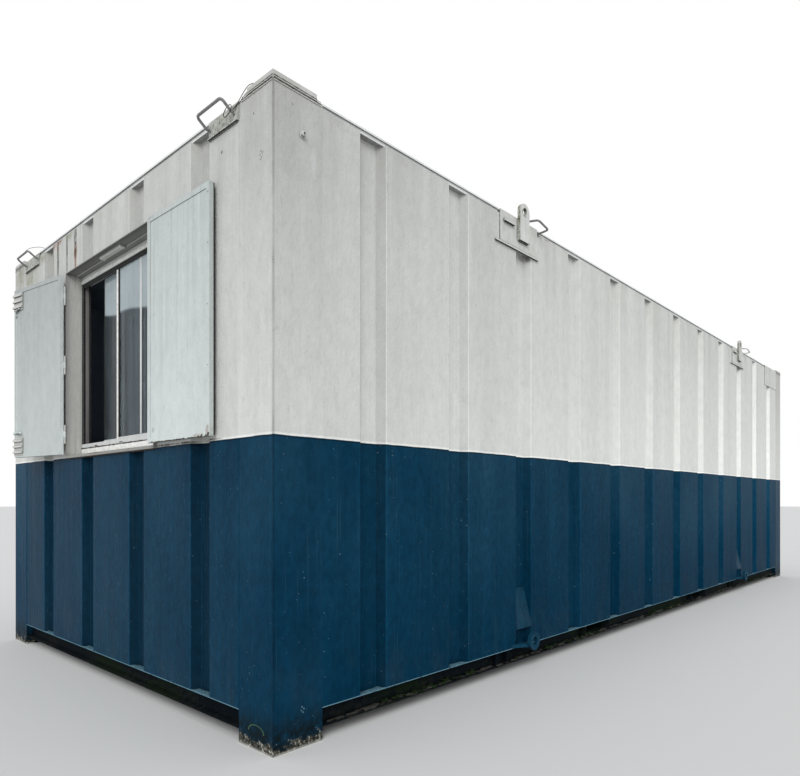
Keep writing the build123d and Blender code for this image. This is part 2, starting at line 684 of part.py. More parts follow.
def door():
    """Frame in the full wall depth, flush leaf, three hinges and a lever handle."""
    frame = slab((DOOR_LOW, DOOR_HIGH), (HALF_WIDTH - DOOR_FRAME_DEPTH, HALF_WIDTH),
                 (RAIL_TOP, DOOR_TOP))
    opening = (DOOR_LOW + DOOR_FRAME_FACE, DOOR_HIGH - DOOR_FRAME_FACE)
    head = DOOR_TOP - DOOR_FRAME_FACE
    frame -= slab(opening, (0, HALF_WIDTH + REACH), (0, head))
    frame -= slab((DOOR_LOW - REACH, DOOR_HIGH + REACH), (0, HALF_WIDTH - LINING_BACK),
                  (0, DECK_TOP))
    leaf_x = (opening[0] + DOOR_GAP, opening[1] - DOOR_GAP)
    face = HALF_WIDTH - DOOR_SETBACK
    leaf = slab(leaf_x, (face - DOOR_LEAF, face), (RAIL_TOP, head - DOOR_GAP))
    hinges = []
    low, high = RAIL_TOP + DOOR_HINGE_END, head - DOOR_HINGE_END
    for index in range(DOOR_HINGE_COUNT):
        z = low + (high - low) * index / (DOOR_HINGE_COUNT - 1)
        pin = Pos(opening[0], HALF_WIDTH + DOOR_HINGE_PLATE, z)
        hinge = pin * Cylinder(DOOR_HINGE_RADIUS, DOOR_HINGE_LENGTH)
        hinge -= slab((opening[0] - REACH, opening[1]), (0, HALF_WIDTH),
                      (z - REACH, z + REACH))
        span = (z - DOOR_HINGE_LENGTH / 2, z + DOOR_HINGE_LENGTH / 2)
        hinge += slab((DOOR_LOW, opening[0]), (HALF_WIDTH, HALF_WIDTH + DOOR_HINGE_PLATE), span)
        hinges.append(hinge)
    wide, thick, tall = HANDLE_PLATE
    x = leaf_x[1] - HANDLE_FROM_EDGE
    handle = slab((x - wide / 2, x + wide / 2), (face, face + thick),
                  (HANDLE_HEIGHT - tall / 2, HANDLE_HEIGHT + tall / 2))
    neck = face + HANDLE_REACH
    handle += Pos(x, (face + neck) / 2, HANDLE_HEIGHT) * (
        Rot(90, 0, 0) * Cylinder(HANDLE_NECK_RADIUS, HANDLE_REACH))
    handle += Pos(x - HANDLE_LEVER / 2, neck, HANDLE_HEIGHT) * (
        Rot(0, 90, 0) * Cylinder(HANDLE_NECK_RADIUS, HANDLE_LEVER))
    handle += Pos(x, neck, HANDLE_HEIGHT) * Sphere(HANDLE_NECK_RADIUS)
    return {
        "door_frame": [frame],
        "door_leaf": [leaf],
        "door_hinges": hinges,
        "door_handle": [handle],
    }


def lifting_point(trough):
    """Plate over one trough with a ledge and a step, an upright lug and a rod hoop."""
    face = -HALF_WIDTH
    bottom = ROOF_EDGE_TOP - LUG_PLATE_DROP
    plate_x = (trough - LUG_PLATE_NEAR, trough + LUG_PLATE_FAR)
    plate = slab(plate_x, (face - LUG_PLATE, face), (bottom, ROOF_EDGE_TOP))
    ledge_x = (trough - LEDGE_NEAR, trough + LEDGE_FAR)
    plate += slab(ledge_x, (face - LEDGE_PROUD, face), (bottom - LEDGE_HEIGHT, bottom))
    step_z = ROOF_EDGE_TOP - STEP_BELOW_ROOF
    step = plate_x[0] + STEP_INSET
    plate += slab((step, step + STEP_WIDTH),
                  (face - LUG_PLATE - STEP_PROUD, face - LUG_PLATE),
                  (step_z - STEP_HEIGHT, step_z))
    lug_y = (face - LUG_PLATE - LUG_THICKNESS, face - LUG_PLATE)
    middle, half = trough + LUG_OFFSET, LUG_WIDTH / 2
    top = ROOF_EDGE_TOP + LUG_ABOVE_ROOF
    lug = slab((middle - half, middle + half), lug_y,
               (ROOF_EDGE_TOP - LUG_BELOW_ROOF, top - LUG_CROWN))
    crown = extrude(Plane.XZ * Ellipse(half, LUG_CROWN), LUG_THICKNESS / 2, both=True)
    lug += Pos(middle, sum(lug_y) / 2, top - LUG_CROWN) * crown
    eye = Pos(middle, sum(lug_y) / 2, top - LUG_EYE_FROM_TOP) * Rot(90, 0, 0)
    lug -= eye * Cylinder(LUG_EYE_RADIUS, 2 * LUG_THICKNESS)
    near, far = (trough + offset for offset in LUG_HOOP_FROM_TROUGH)
    tip = face - LUG_HOOP_REACH
    near_tip, far_tip = (ROOF_EDGE_TOP + rise for rise in LUG_HOOP_TIPS)
    foot = face + LUG_HOOP_INSET
    far_foot = ROOF_EDGE_TOP + LUG_HOOP_FAR_FOOT
    hoop = rod(
        (near, foot, ROOF_EDGE_TOP), (near, foot, ROOF_EDGE_TOP + LUG_HOOP_RISE),
        (near, tip, near_tip), (far, tip, far_tip),
        (far, face - LUG_HOOP_STUB, far_foot), (far, face + TOP_RAIL_SETBACK, far_foot),
    )
    return plate, lug, hoop


def trough_cover():
    """Flat plate over the head of the last trough, from beside it to the post."""
    trough = FIRST_TROUGH_MIDDLE + TROUGH_PITCH * (LONG_TROUGHS - 1)
    return slab(
        (trough - COVER_NEAR, HALF_LENGTH - POST_LONG_FACE),
        (-HALF_WIDTH - COVER_PLATE, -HALF_WIDTH),
        (ROOF_EDGE_TOP - COVER_DROP, ROOF_EDGE_TOP),
    )


def tie_point(trough):
    """Sloping plate in a trough over a ring on an arm that stands on the base rail."""
    face = -HALF_WIDTH
    back = face + TROUGH_DEPTH
    slope = Plane(
        origin=(trough, face, TIE_PLATE_FOOT),
        x_dir=(1, 0, 0),
        z_dir=(0, TIE_PLATE_FOOT - TIE_PLATE_TOP, TROUGH_DEPTH),
    )
    rise = hypot(TIE_PLATE_TOP - TIE_PLATE_FOOT, TROUGH_DEPTH)
    outline = Polyline(
        (-TROUGH_MOUTH / 2, 0), (TROUGH_MOUTH / 2, 0), (TROUGH_FLOOR / 2, rise),
        (-TROUGH_FLOOR / 2, rise), close=True,
    )
    deflector = extrude(slope * make_face(outline), TIE_PLATE)
    middle = trough + TIE_OFFSET
    eye_y = face - TIE_EYE_PROUD
    tip = middle - TIE_ARM_REACH
    arm = prism([
        (tip - TIE_ARM_ROOT, face), (tip - TIE_ARM_TIP, eye_y), (tip, eye_y), (tip, back),
        (tip - TIE_ARM_TIP, back), (tip - TIE_ARM_TIP, face),
    ], TIE_ARM_PLATE)
    turn = Pos(middle, eye_y - TIE_EYE_PLATE / 2, RAIL_TOP + TIE_EYE_RISE) * Rot(90, 0, 0)
    ring = turn * (Cylinder(TIE_EYE_OUTER_RADIUS, TIE_EYE_PLATE)
                   - Cylinder(TIE_EYE_RADIUS, TIE_EYE_PLATE))
    return deflector, Pos(0, 0, RAIL_TOP) * arm + ring


def corner_hoop(runs):
    """Rod hoop tilted up over an angle on the window end, close to one corner."""
    low, high = runs
    base, tip = ANGLE_PLATE, CORNER_HOOP_OUT
    stub = base + CORNER_HOOP_STUB
    foot = CORNER_HOOP_FOOT
    hoop = rod(
        end_point(base, low, foot), end_point(stub, low, foot),
        end_point(tip, low, CORNER_HOOP_BAR), end_point(tip, high, CORNER_HOOP_BAR),
        end_point(stub, high, foot), end_point(base, high, foot),
    )
    before, after = ANGLE_MARGINS if low < HALF_WIDTH else ANGLE_MARGINS[::-1]
    run = (low - before, high + after)
    ledge = end_slab((0, ANGLE_PLATE), run, (ANGLE_BOTTOM, POST_TOP))
    ledge += end_slab((0, ANGLE_LEG), run, (ANGLE_BOTTOM, ANGLE_BOTTOM + ANGLE_PLATE))
    return hoop, ledge


def roof_fittings():
    """Lifting, lashing and tie down pieces, the same on both long walls."""
    kinds = {"lifting_plates": [], "lifting_lugs": [], "roof_hoops": [],
             "tie_deflectors": [], "tie_eyes": []}
    for trough in LUG_TROUGH_MIDDLES:
        for name, piece in zip(kinds, lifting_point(trough) + tie_point(trough)):
            kinds[name] += [piece] + across([piece])
    kinds["lifting_plates"].append(trough_cover())
    kinds["hoop_ledges"] = []
    for runs in CORNER_HOOP_RUNS:
        hoop, ledge = corner_hoop(runs)
        kinds["roof_hoops"].append(hoop)
        kinds["hoop_ledges"].append(ledge)
    return kinds


os.makedirs("parts", exist_ok=True)
for group in (base_frame, corner_pieces, walls, roof, linings, window, shutters, door,
              roof_fittings):
    for node, pieces in group().items():
        write(node, pieces)
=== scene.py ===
"""Looks of a portable site cabin: two-tone corrugated walls, a shuttered window and lifting lugs.

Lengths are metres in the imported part's own frame: +X runs along the cabin away from the
window end, +Y to the back wall and +Z up. "Run" is the distance along a wall from the near
corner, the one between the window end and the front wall, and "out" is the distance outside
a wall's outer face.
"""
import json
import logging
import math
import random
from dataclasses import dataclass, field
from enum import Enum
from functools import cached_property, partial, reduce
from typing import Iterable, Sequence

import bmesh
import bpy
from mathutils import Matrix, Vector


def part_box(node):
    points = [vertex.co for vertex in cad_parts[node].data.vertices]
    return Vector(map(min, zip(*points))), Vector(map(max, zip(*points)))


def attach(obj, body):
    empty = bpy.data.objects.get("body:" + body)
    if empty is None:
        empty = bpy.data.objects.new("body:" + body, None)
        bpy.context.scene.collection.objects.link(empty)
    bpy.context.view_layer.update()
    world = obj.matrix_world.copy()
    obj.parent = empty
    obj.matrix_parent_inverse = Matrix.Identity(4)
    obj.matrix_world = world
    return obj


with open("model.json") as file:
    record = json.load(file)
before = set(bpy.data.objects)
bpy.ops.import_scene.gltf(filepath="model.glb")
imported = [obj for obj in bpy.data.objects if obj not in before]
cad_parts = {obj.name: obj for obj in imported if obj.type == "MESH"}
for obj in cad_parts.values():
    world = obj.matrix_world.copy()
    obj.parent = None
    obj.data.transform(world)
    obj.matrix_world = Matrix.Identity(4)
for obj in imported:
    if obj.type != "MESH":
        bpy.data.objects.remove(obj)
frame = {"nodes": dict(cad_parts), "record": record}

logging.basicConfig(level=logging.INFO, format="%(message)s")
LOG = logging.getLogger("cabin")

Colour = tuple[float, float, float, float]
Triple = tuple[float, float, float]
Socket = bpy.types.NodeSocket

PAINT_LINE = 1.221
MARK_DEPTH = 0.06
SHARP_ANGLE = math.radians(38.0)
WHITE_LIGHT = (1.0, 1.0, 1.0, 1.0)
UP = Vector((0.0, 0.0, 1.0))
ORIGIN = (0.0, 0.0, 0.0)
PLAIN = (1.0, 1.0, 1.0)
CABIN = "cabin"
NEAR_LEAF = "near_shutter"
FAR_LEAF = "far_shutter"


class Slot(Enum):
    """The record's material slots that pieces take their finish from."""

    TWO_TONE = "two_tone_paint"
    WHITE = "white_paint"
    BLUE = "blue_paint"
    BASE = "base_paint"
    FLOOR = "floor_board"
    BOARD = "wall_board"
    ALUMINIUM = "window_aluminium"
    GLASS = "glass"
    STEEL = "bare_steel"
    LAMP = "lamp_plastic"


class Coat(Enum):
    """The finishes, each for one kind of piece."""

    LONG_WALL = "long_wall_enamel"
    END_WALL = "end_wall_enamel"
    POST = "post_enamel"
    TRIM = "trim_enamel"
    ROOF = "roof_enamel"
    LEDGE = "ledge_enamel"
    REVEAL = "reveal_enamel"
    NEAR_LEAF = "near_leaf_enamel"
    FAR_LEAF = "far_leaf_enamel"
    LIFTING = "lifting_enamel"
    DOOR = "door_enamel"
    BLUE = "tie_point_enamel"
    BASE = "base_frame_paint"
    STEEL = "dull_steel"
    HOOP = "hoop_steel"
    WIRE = "rusty_wire"
    RUBBER = "black_rubber"
    FRAME = "white_window_frame"
    GLASS = "window_glass"
    LAMP = "lamp_cover"
    SILL = "flaking_sill_paint"
    TIMBER = "grey_timber"
    VINYL = "floor_vinyl"
    BOARD = "lining_board"
    MUD = "dried_mud"
    MOSS = "moss"
    LICHEN = "pale_lichen"
    DUST = "packed_dust"
    SHADOW_LINE = "packed_dirt"


def corners_of(node: str) -> tuple[Vector, Vector]:
    """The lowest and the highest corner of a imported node's box."""
    low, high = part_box(node)
    return Vector(low), Vector(high)


@dataclass(frozen=True)
class Layout:
    """Where the cabin's corners and walls lie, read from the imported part."""

    low: Vector
    high: Vector

    @classmethod
    def read(cls) -> "Layout":
        """Measure the corner posts."""
        return cls(*corners_of("corner_posts"))

    @property
    def length(self) -> float:
        """Length over the posts."""
        return self.high.x - self.low.x

    @property
    def width(self) -> float:
        """Width over the posts."""
        return self.high.y - self.low.y

    def end(self, run: float, out: float, z: float) -> Vector:
        """A point by the window end, from its run, its distance out and its height."""
        return Vector((self.low.x - out, self.low.y + run, z))

    def front(self, run: float, out: float, z: float, back: bool = False) -> Vector:
        """A point by the front wall, or by the back one, given like one by the window end."""
        y = self.high.y + out if back else self.low.y - out
        return Vector((self.low.x + run, y, z))


class Tree:
    """A node tree that nodes are added to."""

    def __init__(self, tree: bpy.types.NodeTree) -> None:
        """Take a tree to work on."""
        self.tree = tree

    def fill(self, node: bpy.types.Node, inputs: dict) -> None:
        """Give a node's inputs other nodes' outputs or plain values.

        Args:
            node: the node.
            inputs: what each input gets, by the input's name or number.
        """
        for key, value in inputs.items():
            if isinstance(value, Socket):
                self.tree.links.new(value, node.inputs[key])
            else:
                node.inputs[key].default_value = value

    def add(self, kind: str, inputs: dict | None = None, **settings: object) -> bpy.types.Node:
        """Add a node.

        Args:
            kind: the node's type name.
            inputs: what its inputs get, by name or number.
            settings: properties set on the node itself.

        Returns:
            The new node.
        """
        node = self.tree.nodes.new(kind)
        for key, value in settings.items():
            setattr(node, key, value)
        self.fill(node, inputs or {})
        return node

    def calc(self, kind: str, *values: object) -> Socket:
        """Arithmetic of one kind, such as MULTIPLY, on up to three values."""
        return self.add("ShaderNodeMath", dict(enumerate(values)), operation=kind).outputs[0]


class Graph(Tree):
    """A material's node tree, with a short method for each kind of node that is used."""

    def __init__(self, coat: "Coat | str") -> None:
        """Start a material.

        Args:
            coat: the finish, or the name of a material that is none of them.
        """
        self.material = bpy.data.materials.new(coat.value if isinstance(coat, Coat) else coat)
        self.material.use_nodes = True
        super().__init__(self.material.node_tree)
        self.shader = self.tree.nodes["Principled BSDF"]
        coordinates = self.add("ShaderNodeTexCoord")
        self.place = coordinates.outputs["Object"]
        self.facing = coordinates.outputs["Normal"]

    @cached_property
    def z(self) -> Socket:
        """The height."""
        return self.axis("Z")

    def stretched(self, scale: Triple, offset: Triple = ORIGIN) -> Socket:
        """The piece's own coordinates, scaled by axis and then shifted."""
        return self.add("ShaderNodeMapping", {"Vector": self.place, "Scale": scale,
                                              "Location": offset}).outputs["Vector"]

    def noise(self, stretch: Triple, scale: float = 1.0, detail: float = 4.0,
              rough: float = 0.55, offset: Triple = ORIGIN) -> Socket:
        """Cloudy noise.

        Args:
            stretch: how much each axis is multiplied before the noise is read.
            scale: how fine it is.
            detail: how many finer layers are added.
            rough: how strong the finer layers are.
            offset: moves the pattern, so that two of them differ.

        Returns:
            The noise's value, from 0 to 1.
        """
        return self.add("ShaderNodeTexNoise", {
            "Vector": self.stretched(stretch, offset), "Scale": scale, "Detail": detail,
            "Roughness": rough}).outputs["Fac"]

    def streaks(self, width: float, length: float, shift: float, detail: float = 3.0) -> Socket:
        """Upright streaks of a width and a length as noise, moved so that two sets differ."""
        scale = (1.0 / width, 1.0 / width, 1.0 / length)
        return self.noise(scale, 1.0, detail, offset=(shift, shift * 2.0, shift * 3.0))

    def part_of(self, vector: Socket, name: str) -> Socket:
        """One component of a vector: X, Y or Z."""
        return self.add("ShaderNodeSeparateXYZ", {0: vector}).outputs[name]

    def axis(self, name: str) -> Socket:
        """One coordinate of the piece's own frame: X, Y or Z."""
        return self.part_of(self.place, name)

    def ramp(self, value: object, low: float, high: float, start: float = 0.0,
             end: float = 1.0) -> Socket:
        """A ramp of a value, held at its ends.

        Args:
            value: what is ramped.
            low: the value at the ramp's start.
            high: the value at its end.
            start: what the ramp gives at its start.
            end: what it gives at its end.

        Returns:
            The ramp's socket.
        """
        return self.add("ShaderNodeMapRange", {
            "Value": value, "From Min": low, "From Max": high, "To Min": start, "To Max": end},
            clamp=True).outputs["Result"]

    def away(self, value: object, centre: float) -> Socket:
        """How far a value is from a centre, on either side."""
        return self.calc("ABSOLUTE", self.calc("SUBTRACT", value, centre))

    def product(self, *values: object) -> Socket:
        """Several values multiplied together."""
        return reduce(partial(self.calc, "MULTIPLY"), values)

    def factors(self, *ramps: tuple) -> Socket:
        """Several ramps multiplied together, each given the way ramp takes it."""
        return self.product(*(self.ramp(*ramp) for ramp in ramps))

    def blend(self, factor: object, first: object, second: object) -> Socket:
        """Two colours mixed: 0 gives the first and 1 the second."""
        return self.add("ShaderNodeMix", {"Factor": factor, 6: first, 7: second},
                        data_type="RGBA").outputs[2]

    def tinted(self, colour: object, tint: object, *ramp: object) -> Socket:
        """A colour that turns into a tint along a ramp."""
        return self.blend(self.ramp(*ramp), colour, tint)

    def shaded(self, colour: object, factor: object) -> Socket:
        """A colour made darker or lighter.

        Args:
            colour: the colour.
            factor: what each of its parts is multiplied by.

        Returns:
            The colour's socket.
        """
        plain = colour if isinstance(colour, Socket) else colour[:3]
        return self.add("ShaderNodeVectorMath", {0: plain, "Scale": factor},
                        operation="SCALE").outputs["Vector"]

    def toned(self, colour: object, *ramp: object) -> Socket:
        """A colour made darker or lighter along a ramp."""
        return self.shaded(colour, self.ramp(*ramp))

    def spot(self, mark: "Mark") -> Socket:
        """A soft mark.

        Args:
            mark: its middle and its reach.

        Returns:
            Its strength: 1 at its middle and 0 past its reach.
        """
        scale = tuple(1.0 / reach for reach in mark.reach)
        offset = tuple(-place / reach for place, reach in zip(mark.centre, mark.reach))
        distance = self.add("ShaderNodeVectorMath", {0: self.stretched(scale, offset)},
                            operation="LENGTH").outputs["Value"]
        return self.ramp(distance, 0.0, 1.0, 1.0, 0.0)

    def spots(self, marks: Iterable["Mark"]) -> Socket:
        """The strongest of several soft marks."""
        return reduce(partial(self.calc, "MAXIMUM"), [self.spot(mark) for mark in marks])

    def openness(self, distance: float) -> Socket:
        """How open a place is to things within a distance: 0 in a corner, 1 on a flat."""
        return self.add("ShaderNodeAmbientOcclusion", {"Distance": distance},
                        samples=4).outputs["AO"]

    def bumps(self, height: object, depth: float, strength: float = 1.0,
              under: object = None) -> Socket:
        """Relief from a height value.

        Args:
            height: the height, from 0 to 1.
            depth: how far 1 stands out, in metres.
            strength: how much of it shows.
            under: another relief that this one is added to.

        Returns:
            The normal's socket.
        """
        below = {} if under is None else {"Normal": under}
        return self.add("ShaderNodeBump", {"Strength": strength, "Distance": depth,
                                           "Height": height, **below}).outputs["Normal"]

    def finish(self, colour: object, rough: object, metal: float = 0.0,
               normal: object = None, gloss: float = 0.5) -> bpy.types.Material:
        """Connect the shader.

        Args:
            colour: the base colour.
            rough: the roughness.
            metal: 1 for bare metal.
            normal: relief, if any.
            gloss: how strongly the surface mirrors.

        Returns:
            The finished material.
        """
        self.fill(self.shader, {"Base Color": colour, "Roughness": rough, "Metallic": metal,
                                "Specular IOR Level": gloss})
        if normal is not None:
            self.fill(self.shader, {"Normal": normal})
        return self.material


class PaintGraph(Graph):
    """The node tree of a painted piece, with the streaks that all its steps share."""

    def __init__(self, coat: Coat) -> None:
        """Start a paint.

        Args:
            coat: the finish.
        """
        super().__init__(coat)
        self.brush = self.streaks(0.016, 0.80, 0.0, 4.0)
        self.runs = self.streaks(0.11, 2.40, 3.0, 5.0)


@dataclass(frozen=True)
class Mark:
    """A stain's or scuff's middle and how far it reaches along each axis."""

    centre: Triple
    reach: Triple


@dataclass(frozen=True)
class FoldShades:
    """Painted shade and highlights on each part of a corrugated wall's folds: what the paint's colour
    is multiplied by.
    """

    web_near: float = 1.0
    web_far: float = 1.0
    floor: float = 1.0
    bend: float = 0.0
    far_lift: float = 0.0


@dataclass(frozen=True)
class Folds:
    """The bends of a pair of corrugated walls, for the painted shade and highlights that follow them.
    """

    run_axis: str
    depth_axis: str
    run_start: float
    run_end: float
    middle: float
    half: float
    first: float = 0.451
    pitch: float = 0.610
    mouth: float = 0.164
    floor: float = 0.090
    depth: float = 0.036
    soft: float = 0.001

    def tone(self, g: Graph, shades: FoldShades) -> Socket:
        """Painted shade and light along the folds: what the paint's colour is multiplied by.

        Args:
            g: the material being made.
            shades: how light each part of a fold is.

        Returns:
            The factor's socket.
        """
        run, half = g.axis(self.run_axis), self.floor / 2.0
        middle = self.run_start + self.first + self.mouth / 2.0
        across = g.calc("WRAP", g.calc("SUBTRACT", run, middle), self.pitch / 2.0,
                        -self.pitch / 2.0)
        side = g.calc("ABSOLUTE", across)
        off = g.away(g.axis(self.depth_axis), self.middle)
        sunk = g.ramp(g.calc("SUBTRACT", self.half, off), 0.001, self.depth)
        inside = g.ramp(sunk, 0.02, 0.06)
        # painted shade and light: the web on the far side of each trough, darker near the window end
        # and lighter further along, and the trough floors
        web = g.product(g.ramp(across, half - self.soft, half + self.soft), inside)
        by_run = g.ramp(run, self.run_start, self.run_end,
                        shades.web_near - 1.0, shades.web_far - 1.0)
        factor = g.calc("ADD", 1.0, g.product(web, by_run))
        bottom = g.product(g.ramp(side, half + self.soft, half - self.soft), inside)
        factor = g.calc("ADD", factor, g.product(bottom, shades.floor - 1.0))
        # painted highlights along both bends of each trough
        for place, width in ((self.mouth / 2.0, 0.005), (half, 0.003)):
            line = g.ramp(g.away(side, place), 0.0, width, 1.0, 0.0)
            factor = g.calc("ADD", factor, g.product(line, shades.bend))
        # painted light: the whole wall lighter further along
        far_light = (run, self.run_start + 0.6, self.run_start + 2.6, 1.0, 1.0 + shades.far_lift)
        return g.product(factor, g.ramp(*far_light))


@dataclass(frozen=True)
class WeatheredPaint:
    """Brushed enamel on steel, in one colour or two, with runs, stains, chips and mud, and with
    painted light and shade.
    """

    coat: Coat
    upper: Colour = (0.632, 0.636, 0.610, 1.0)
    lower: Colour = (0.0004, 0.0315, 0.0690, 1.0)
    line: float = PAINT_LINE
    folds: Folds | None = None
    white_shades: FoldShades = FoldShades()
    blue_shades: FoldShades = FoldShades()
    grime: Colour = (0.300, 0.290, 0.235, 1.0)
    moss: Colour = (0.160, 0.170, 0.050, 1.0)
    rust: Colour = (0.210, 0.070, 0.026, 1.0)
    dark_stain_and_shade: Colour = (0.045, 0.038, 0.032, 1.0)
    chalk: Colour = (0.70, 0.72, 0.70, 1.0)
    mud: Colour = (0.120, 0.125, 0.115, 1.0)
    haze: Colour = (0.034, 0.082, 0.112, 1.0)
    pale_wash: tuple[float, float] = (0.12, 0.36)
    low_shade: float = 0.90
    chips: float = 0.30
    mossy: float = 0.0
    side_moss: float = 0.0
    underside: float = 0.42
    roof_grime: float = 0.16
    edges: float = 0.20
    crease: float = 0.025
    gloss: float = 0.03
    streaking: float = 0.0
    near_side: float = 1.0
    top_shade: float = 1.0
    inward: Triple | None = None
    foot: bool = False
    corners: Layout | None = None
    rust_marks: tuple[Mark, ...] = ()
    moss_marks: tuple[Mark, ...] = ()
    dark_marks: tuple[Mark, ...] = ()
    pale_marks: tuple[Mark, ...] = ()

    def build(self) -> bpy.types.Material:
        """Make the material.

        Returns:
            The painted metal.
        """
        g = PaintGraph(self.coat)
        colour = self._chipped(g, self._stained(g, self._two_tone(g)))
        if self.foot:
            colour = self._battered_foot(g, colour)
        if self.side_moss:
            colour = self._flecked(g, colour)
        # painted shade: faces that look down are darker
        colour = g.toned(colour, g.part_of(g.facing, "Z"), -0.30, -0.80, 1.0, self.underside)
        colour = self._placed_shades(g, colour)
        # painted shade: darker in corners and creases, by how open each place is
        colour = g.toned(colour, g.openness(self.crease), 0.25, 0.85, 1.0 - self.edges, 1.0)
        rough = g.ramp(g.calc("ADD", g.runs, g.brush), 0.7, 1.4, 0.34, 0.58)
        dents = g.bumps(g.noise((1.0, 1.0, 0.55), 2.6, 2.0), 0.008, 0.35)
        rolled = g.bumps(g.noise((1.0, 1.0, 0.7), 62.0, 4.0, 0.66), 0.0036, 0.80, dents)
        return g.finish(colour, rough, 0.0, g.bumps(g.brush, 0.0010, 0.35, rolled), self.gloss)

    def _two_tone(self, g: PaintGraph) -> Socket:
        """White above the paint line and blue below it, each with its own weathering, and a painted
        highlight and painted shade along the line.

        Args:
            g: the paint being made.

        Returns:
            The colour's socket.
        """
        white, blue = self._white(g), self._blue(g)
        if self.folds is not None:
            white = g.shaded(white, self.folds.tone(g, self.white_shades))
            blue = g.shaded(blue, self.folds.tone(g, self.blue_shades))
        ragged = g.product(g.noise((9.0, 9.0, 9.0), 1.0, 3.0), 0.006)
        above = g.calc("SUBTRACT", g.z, g.calc("ADD", self.line - 0.003, ragged))
        # painted highlight: the white is brighter just above the paint line
        white = g.toned(white, above, 0.005, 0.012, 1.30, 1.0)
        # painted shade: the blue is darker just below the paint line
        blue = g.toned(blue, above, -0.010, -0.005, 1.0, 0.50)
        return g.tinted(blue, white, above, -0.0012, 0.0012)

    def _white(self, g: PaintGraph) -> Socket:
        """The upper colour with brush lines, rain runs and grime under the roof.

        Args:
            g: the paint being made.

        Returns:
            The colour's socket.
        """
        bands = g.streaks(0.20, 9.0, 11.0, 1.0)
        cloud = g.noise((1.0, 1.0, 0.6), 1.3, 3.0)
        hairs = g.streaks(0.0045, 1.60, 17.0, 2.0)
        mottle = g.noise((1.0, 1.0, 0.6), 22.0, 4.0, 0.6, (7.0, 1.0, 3.0))
        scuffs = g.noise((1.0, 1.0, 0.5), 55.0, 3.0, 0.6, (2.0, 9.0, 4.0))
        factor = g.factors(
            (g.runs, 0.36, 0.70, 1.01, 0.965), (bands, 0.35, 0.65, 0.985, 1.015),
            (cloud, 0.35, 0.70, 1.02, 0.96), (g.brush, 0.30, 0.75, 1.02, 0.975),
            (hairs, 0.66, 0.74, 1.0, 0.93), (mottle, 0.36, 0.66, 1.035, 0.955),
            (scuffs, 0.60, 0.72, 1.0, 0.90))
        if self.streaking:
            rain = g.factors((g.streaks(0.013, 1.1, 31.0, 3.0), 0.50, 0.66), (g.z, 1.35, 1.95))
            factor = g.product(factor, g.ramp(rain, 0.0, 1.0, 1.0, 1.0 - self.streaking))
        white = g.shaded(self.upper, factor)
        drips = g.calc("ADD", g.factors((g.z, 2.12, 2.56), (g.runs, 0.42, 0.60)),
                       g.product(g.ramp(g.z, 2.50, 2.57), 0.5))
        white = g.blend(g.product(drips, self.roof_grime), white, self.grime)
        if self.mossy:
            growth = g.ramp(g.noise((1.0, 1.0, 0.5), 26.0, 5.0, 0.65), 0.46, 0.66)
            white = g.blend(g.product(growth, self.mossy), white, self.moss)
        specks = g.noise(PLAIN, 120.0, 1.0)
        return g.tinted(white, self.grime, specks, 0.76, 0.80, 0.0, 0.45)

    def _blue(self, g: PaintGraph) -> Socket:
        """The lower colour with a paler haze that changes with height, pale scratches and splashes,
        darker towards the bottom.

        Args:
            g: the paint being made.

        Returns:
            The colour's socket.
        """
        cloud = g.noise((1.0, 1.0, 0.7), 1.7, 3.0, offset=(4.0, 4.0, 4.0))
        scratches = g.streaks(0.0060, 0.55, 23.0, 2.0)
        mottle = g.noise((1.0, 1.0, 0.6), 34.0, 4.0, 0.62, (3.0, 6.0, 1.0))
        specks = g.noise(PLAIN, 85.0, 1.0)
        low = g.noise((6.0, 6.0, 3.0), 1.0, 5.0, 0.7)
        blue = g.shaded(self.lower, g.factors((g.runs, 0.38, 0.72, 0.92, 1.14),
                                              (cloud, 0.3, 0.7, 0.90, 1.10)))
        pale_wash = g.factors((cloud, 0.34, 0.66, 0.25, 1.0), (g.runs, 0.30, 0.66, 0.5, 1.0),
                         (g.z, 0.35, 1.15, *self.pale_wash))
        blue = g.toned(g.blend(pale_wash, blue, self.haze), g.z, 0.15, 0.85, self.low_shade, 1.0)
        blue = g.toned(blue, mottle, 0.34, 0.66, 1.16, 0.86)
        blue = g.tinted(blue, self.haze, scratches, 0.64, 0.74, 0.0, 0.45)
        blue = g.tinted(blue, (0.16, 0.24, 0.28, 1.0), specks, 0.745, 0.775, 0.0, 0.60)
        splash = g.factors((g.z, 0.45, 0.10), (low, 0.46, 0.72))
        return g.blend(g.product(splash, 0.10), blue, self.mud)

    def _stained(self, g: PaintGraph, colour: Socket) -> Socket:
        """Moss, rust, dark and pale marks at their own places; some of the dark marks are painted
        shadow.

        Args:
            g: the paint being made.
            colour: the colour so far.

        Returns:
            The colour's socket.
        """
        fine = g.noise((1.0, 1.0, 0.45), 48.0, 5.0, 0.65)
        for marks, tint, low, high, most in (
                (self.moss_marks, self.moss, 0.30, 0.62, 0.55),
                (self.rust_marks, self.rust, 0.30, 0.50, 0.90),
                (self.dark_marks, self.dark_stain_and_shade, 0.34, 0.52, 0.95),
                (self.pale_marks, self.chalk, 0.30, 0.50, 1.0)):
            if marks:
                patch = g.factors((g.spots(marks), 0.0, 0.7), (fine, low, high))
                colour = g.blend(g.product(patch, most), colour, tint)
        return colour

    def _chipped(self, g: PaintGraph, colour: Socket) -> Socket:
        """Small rust chips in loose groups.

        Args:
            g: the paint being made.
            colour: the colour so far.

        Returns:
            The colour's socket.
        """
        speckle = g.noise((1.0, 1.0, 0.8), 40.0, 3.0, 0.6)
        group = g.noise(PLAIN, 2.1, 2.0, offset=(5.0, 2.0, 9.0))
        chips = g.factors((speckle, 0.745, 0.765), (group, 0.52, 0.62))
        return g.blend(g.product(chips, self.chips), colour, self.rust)

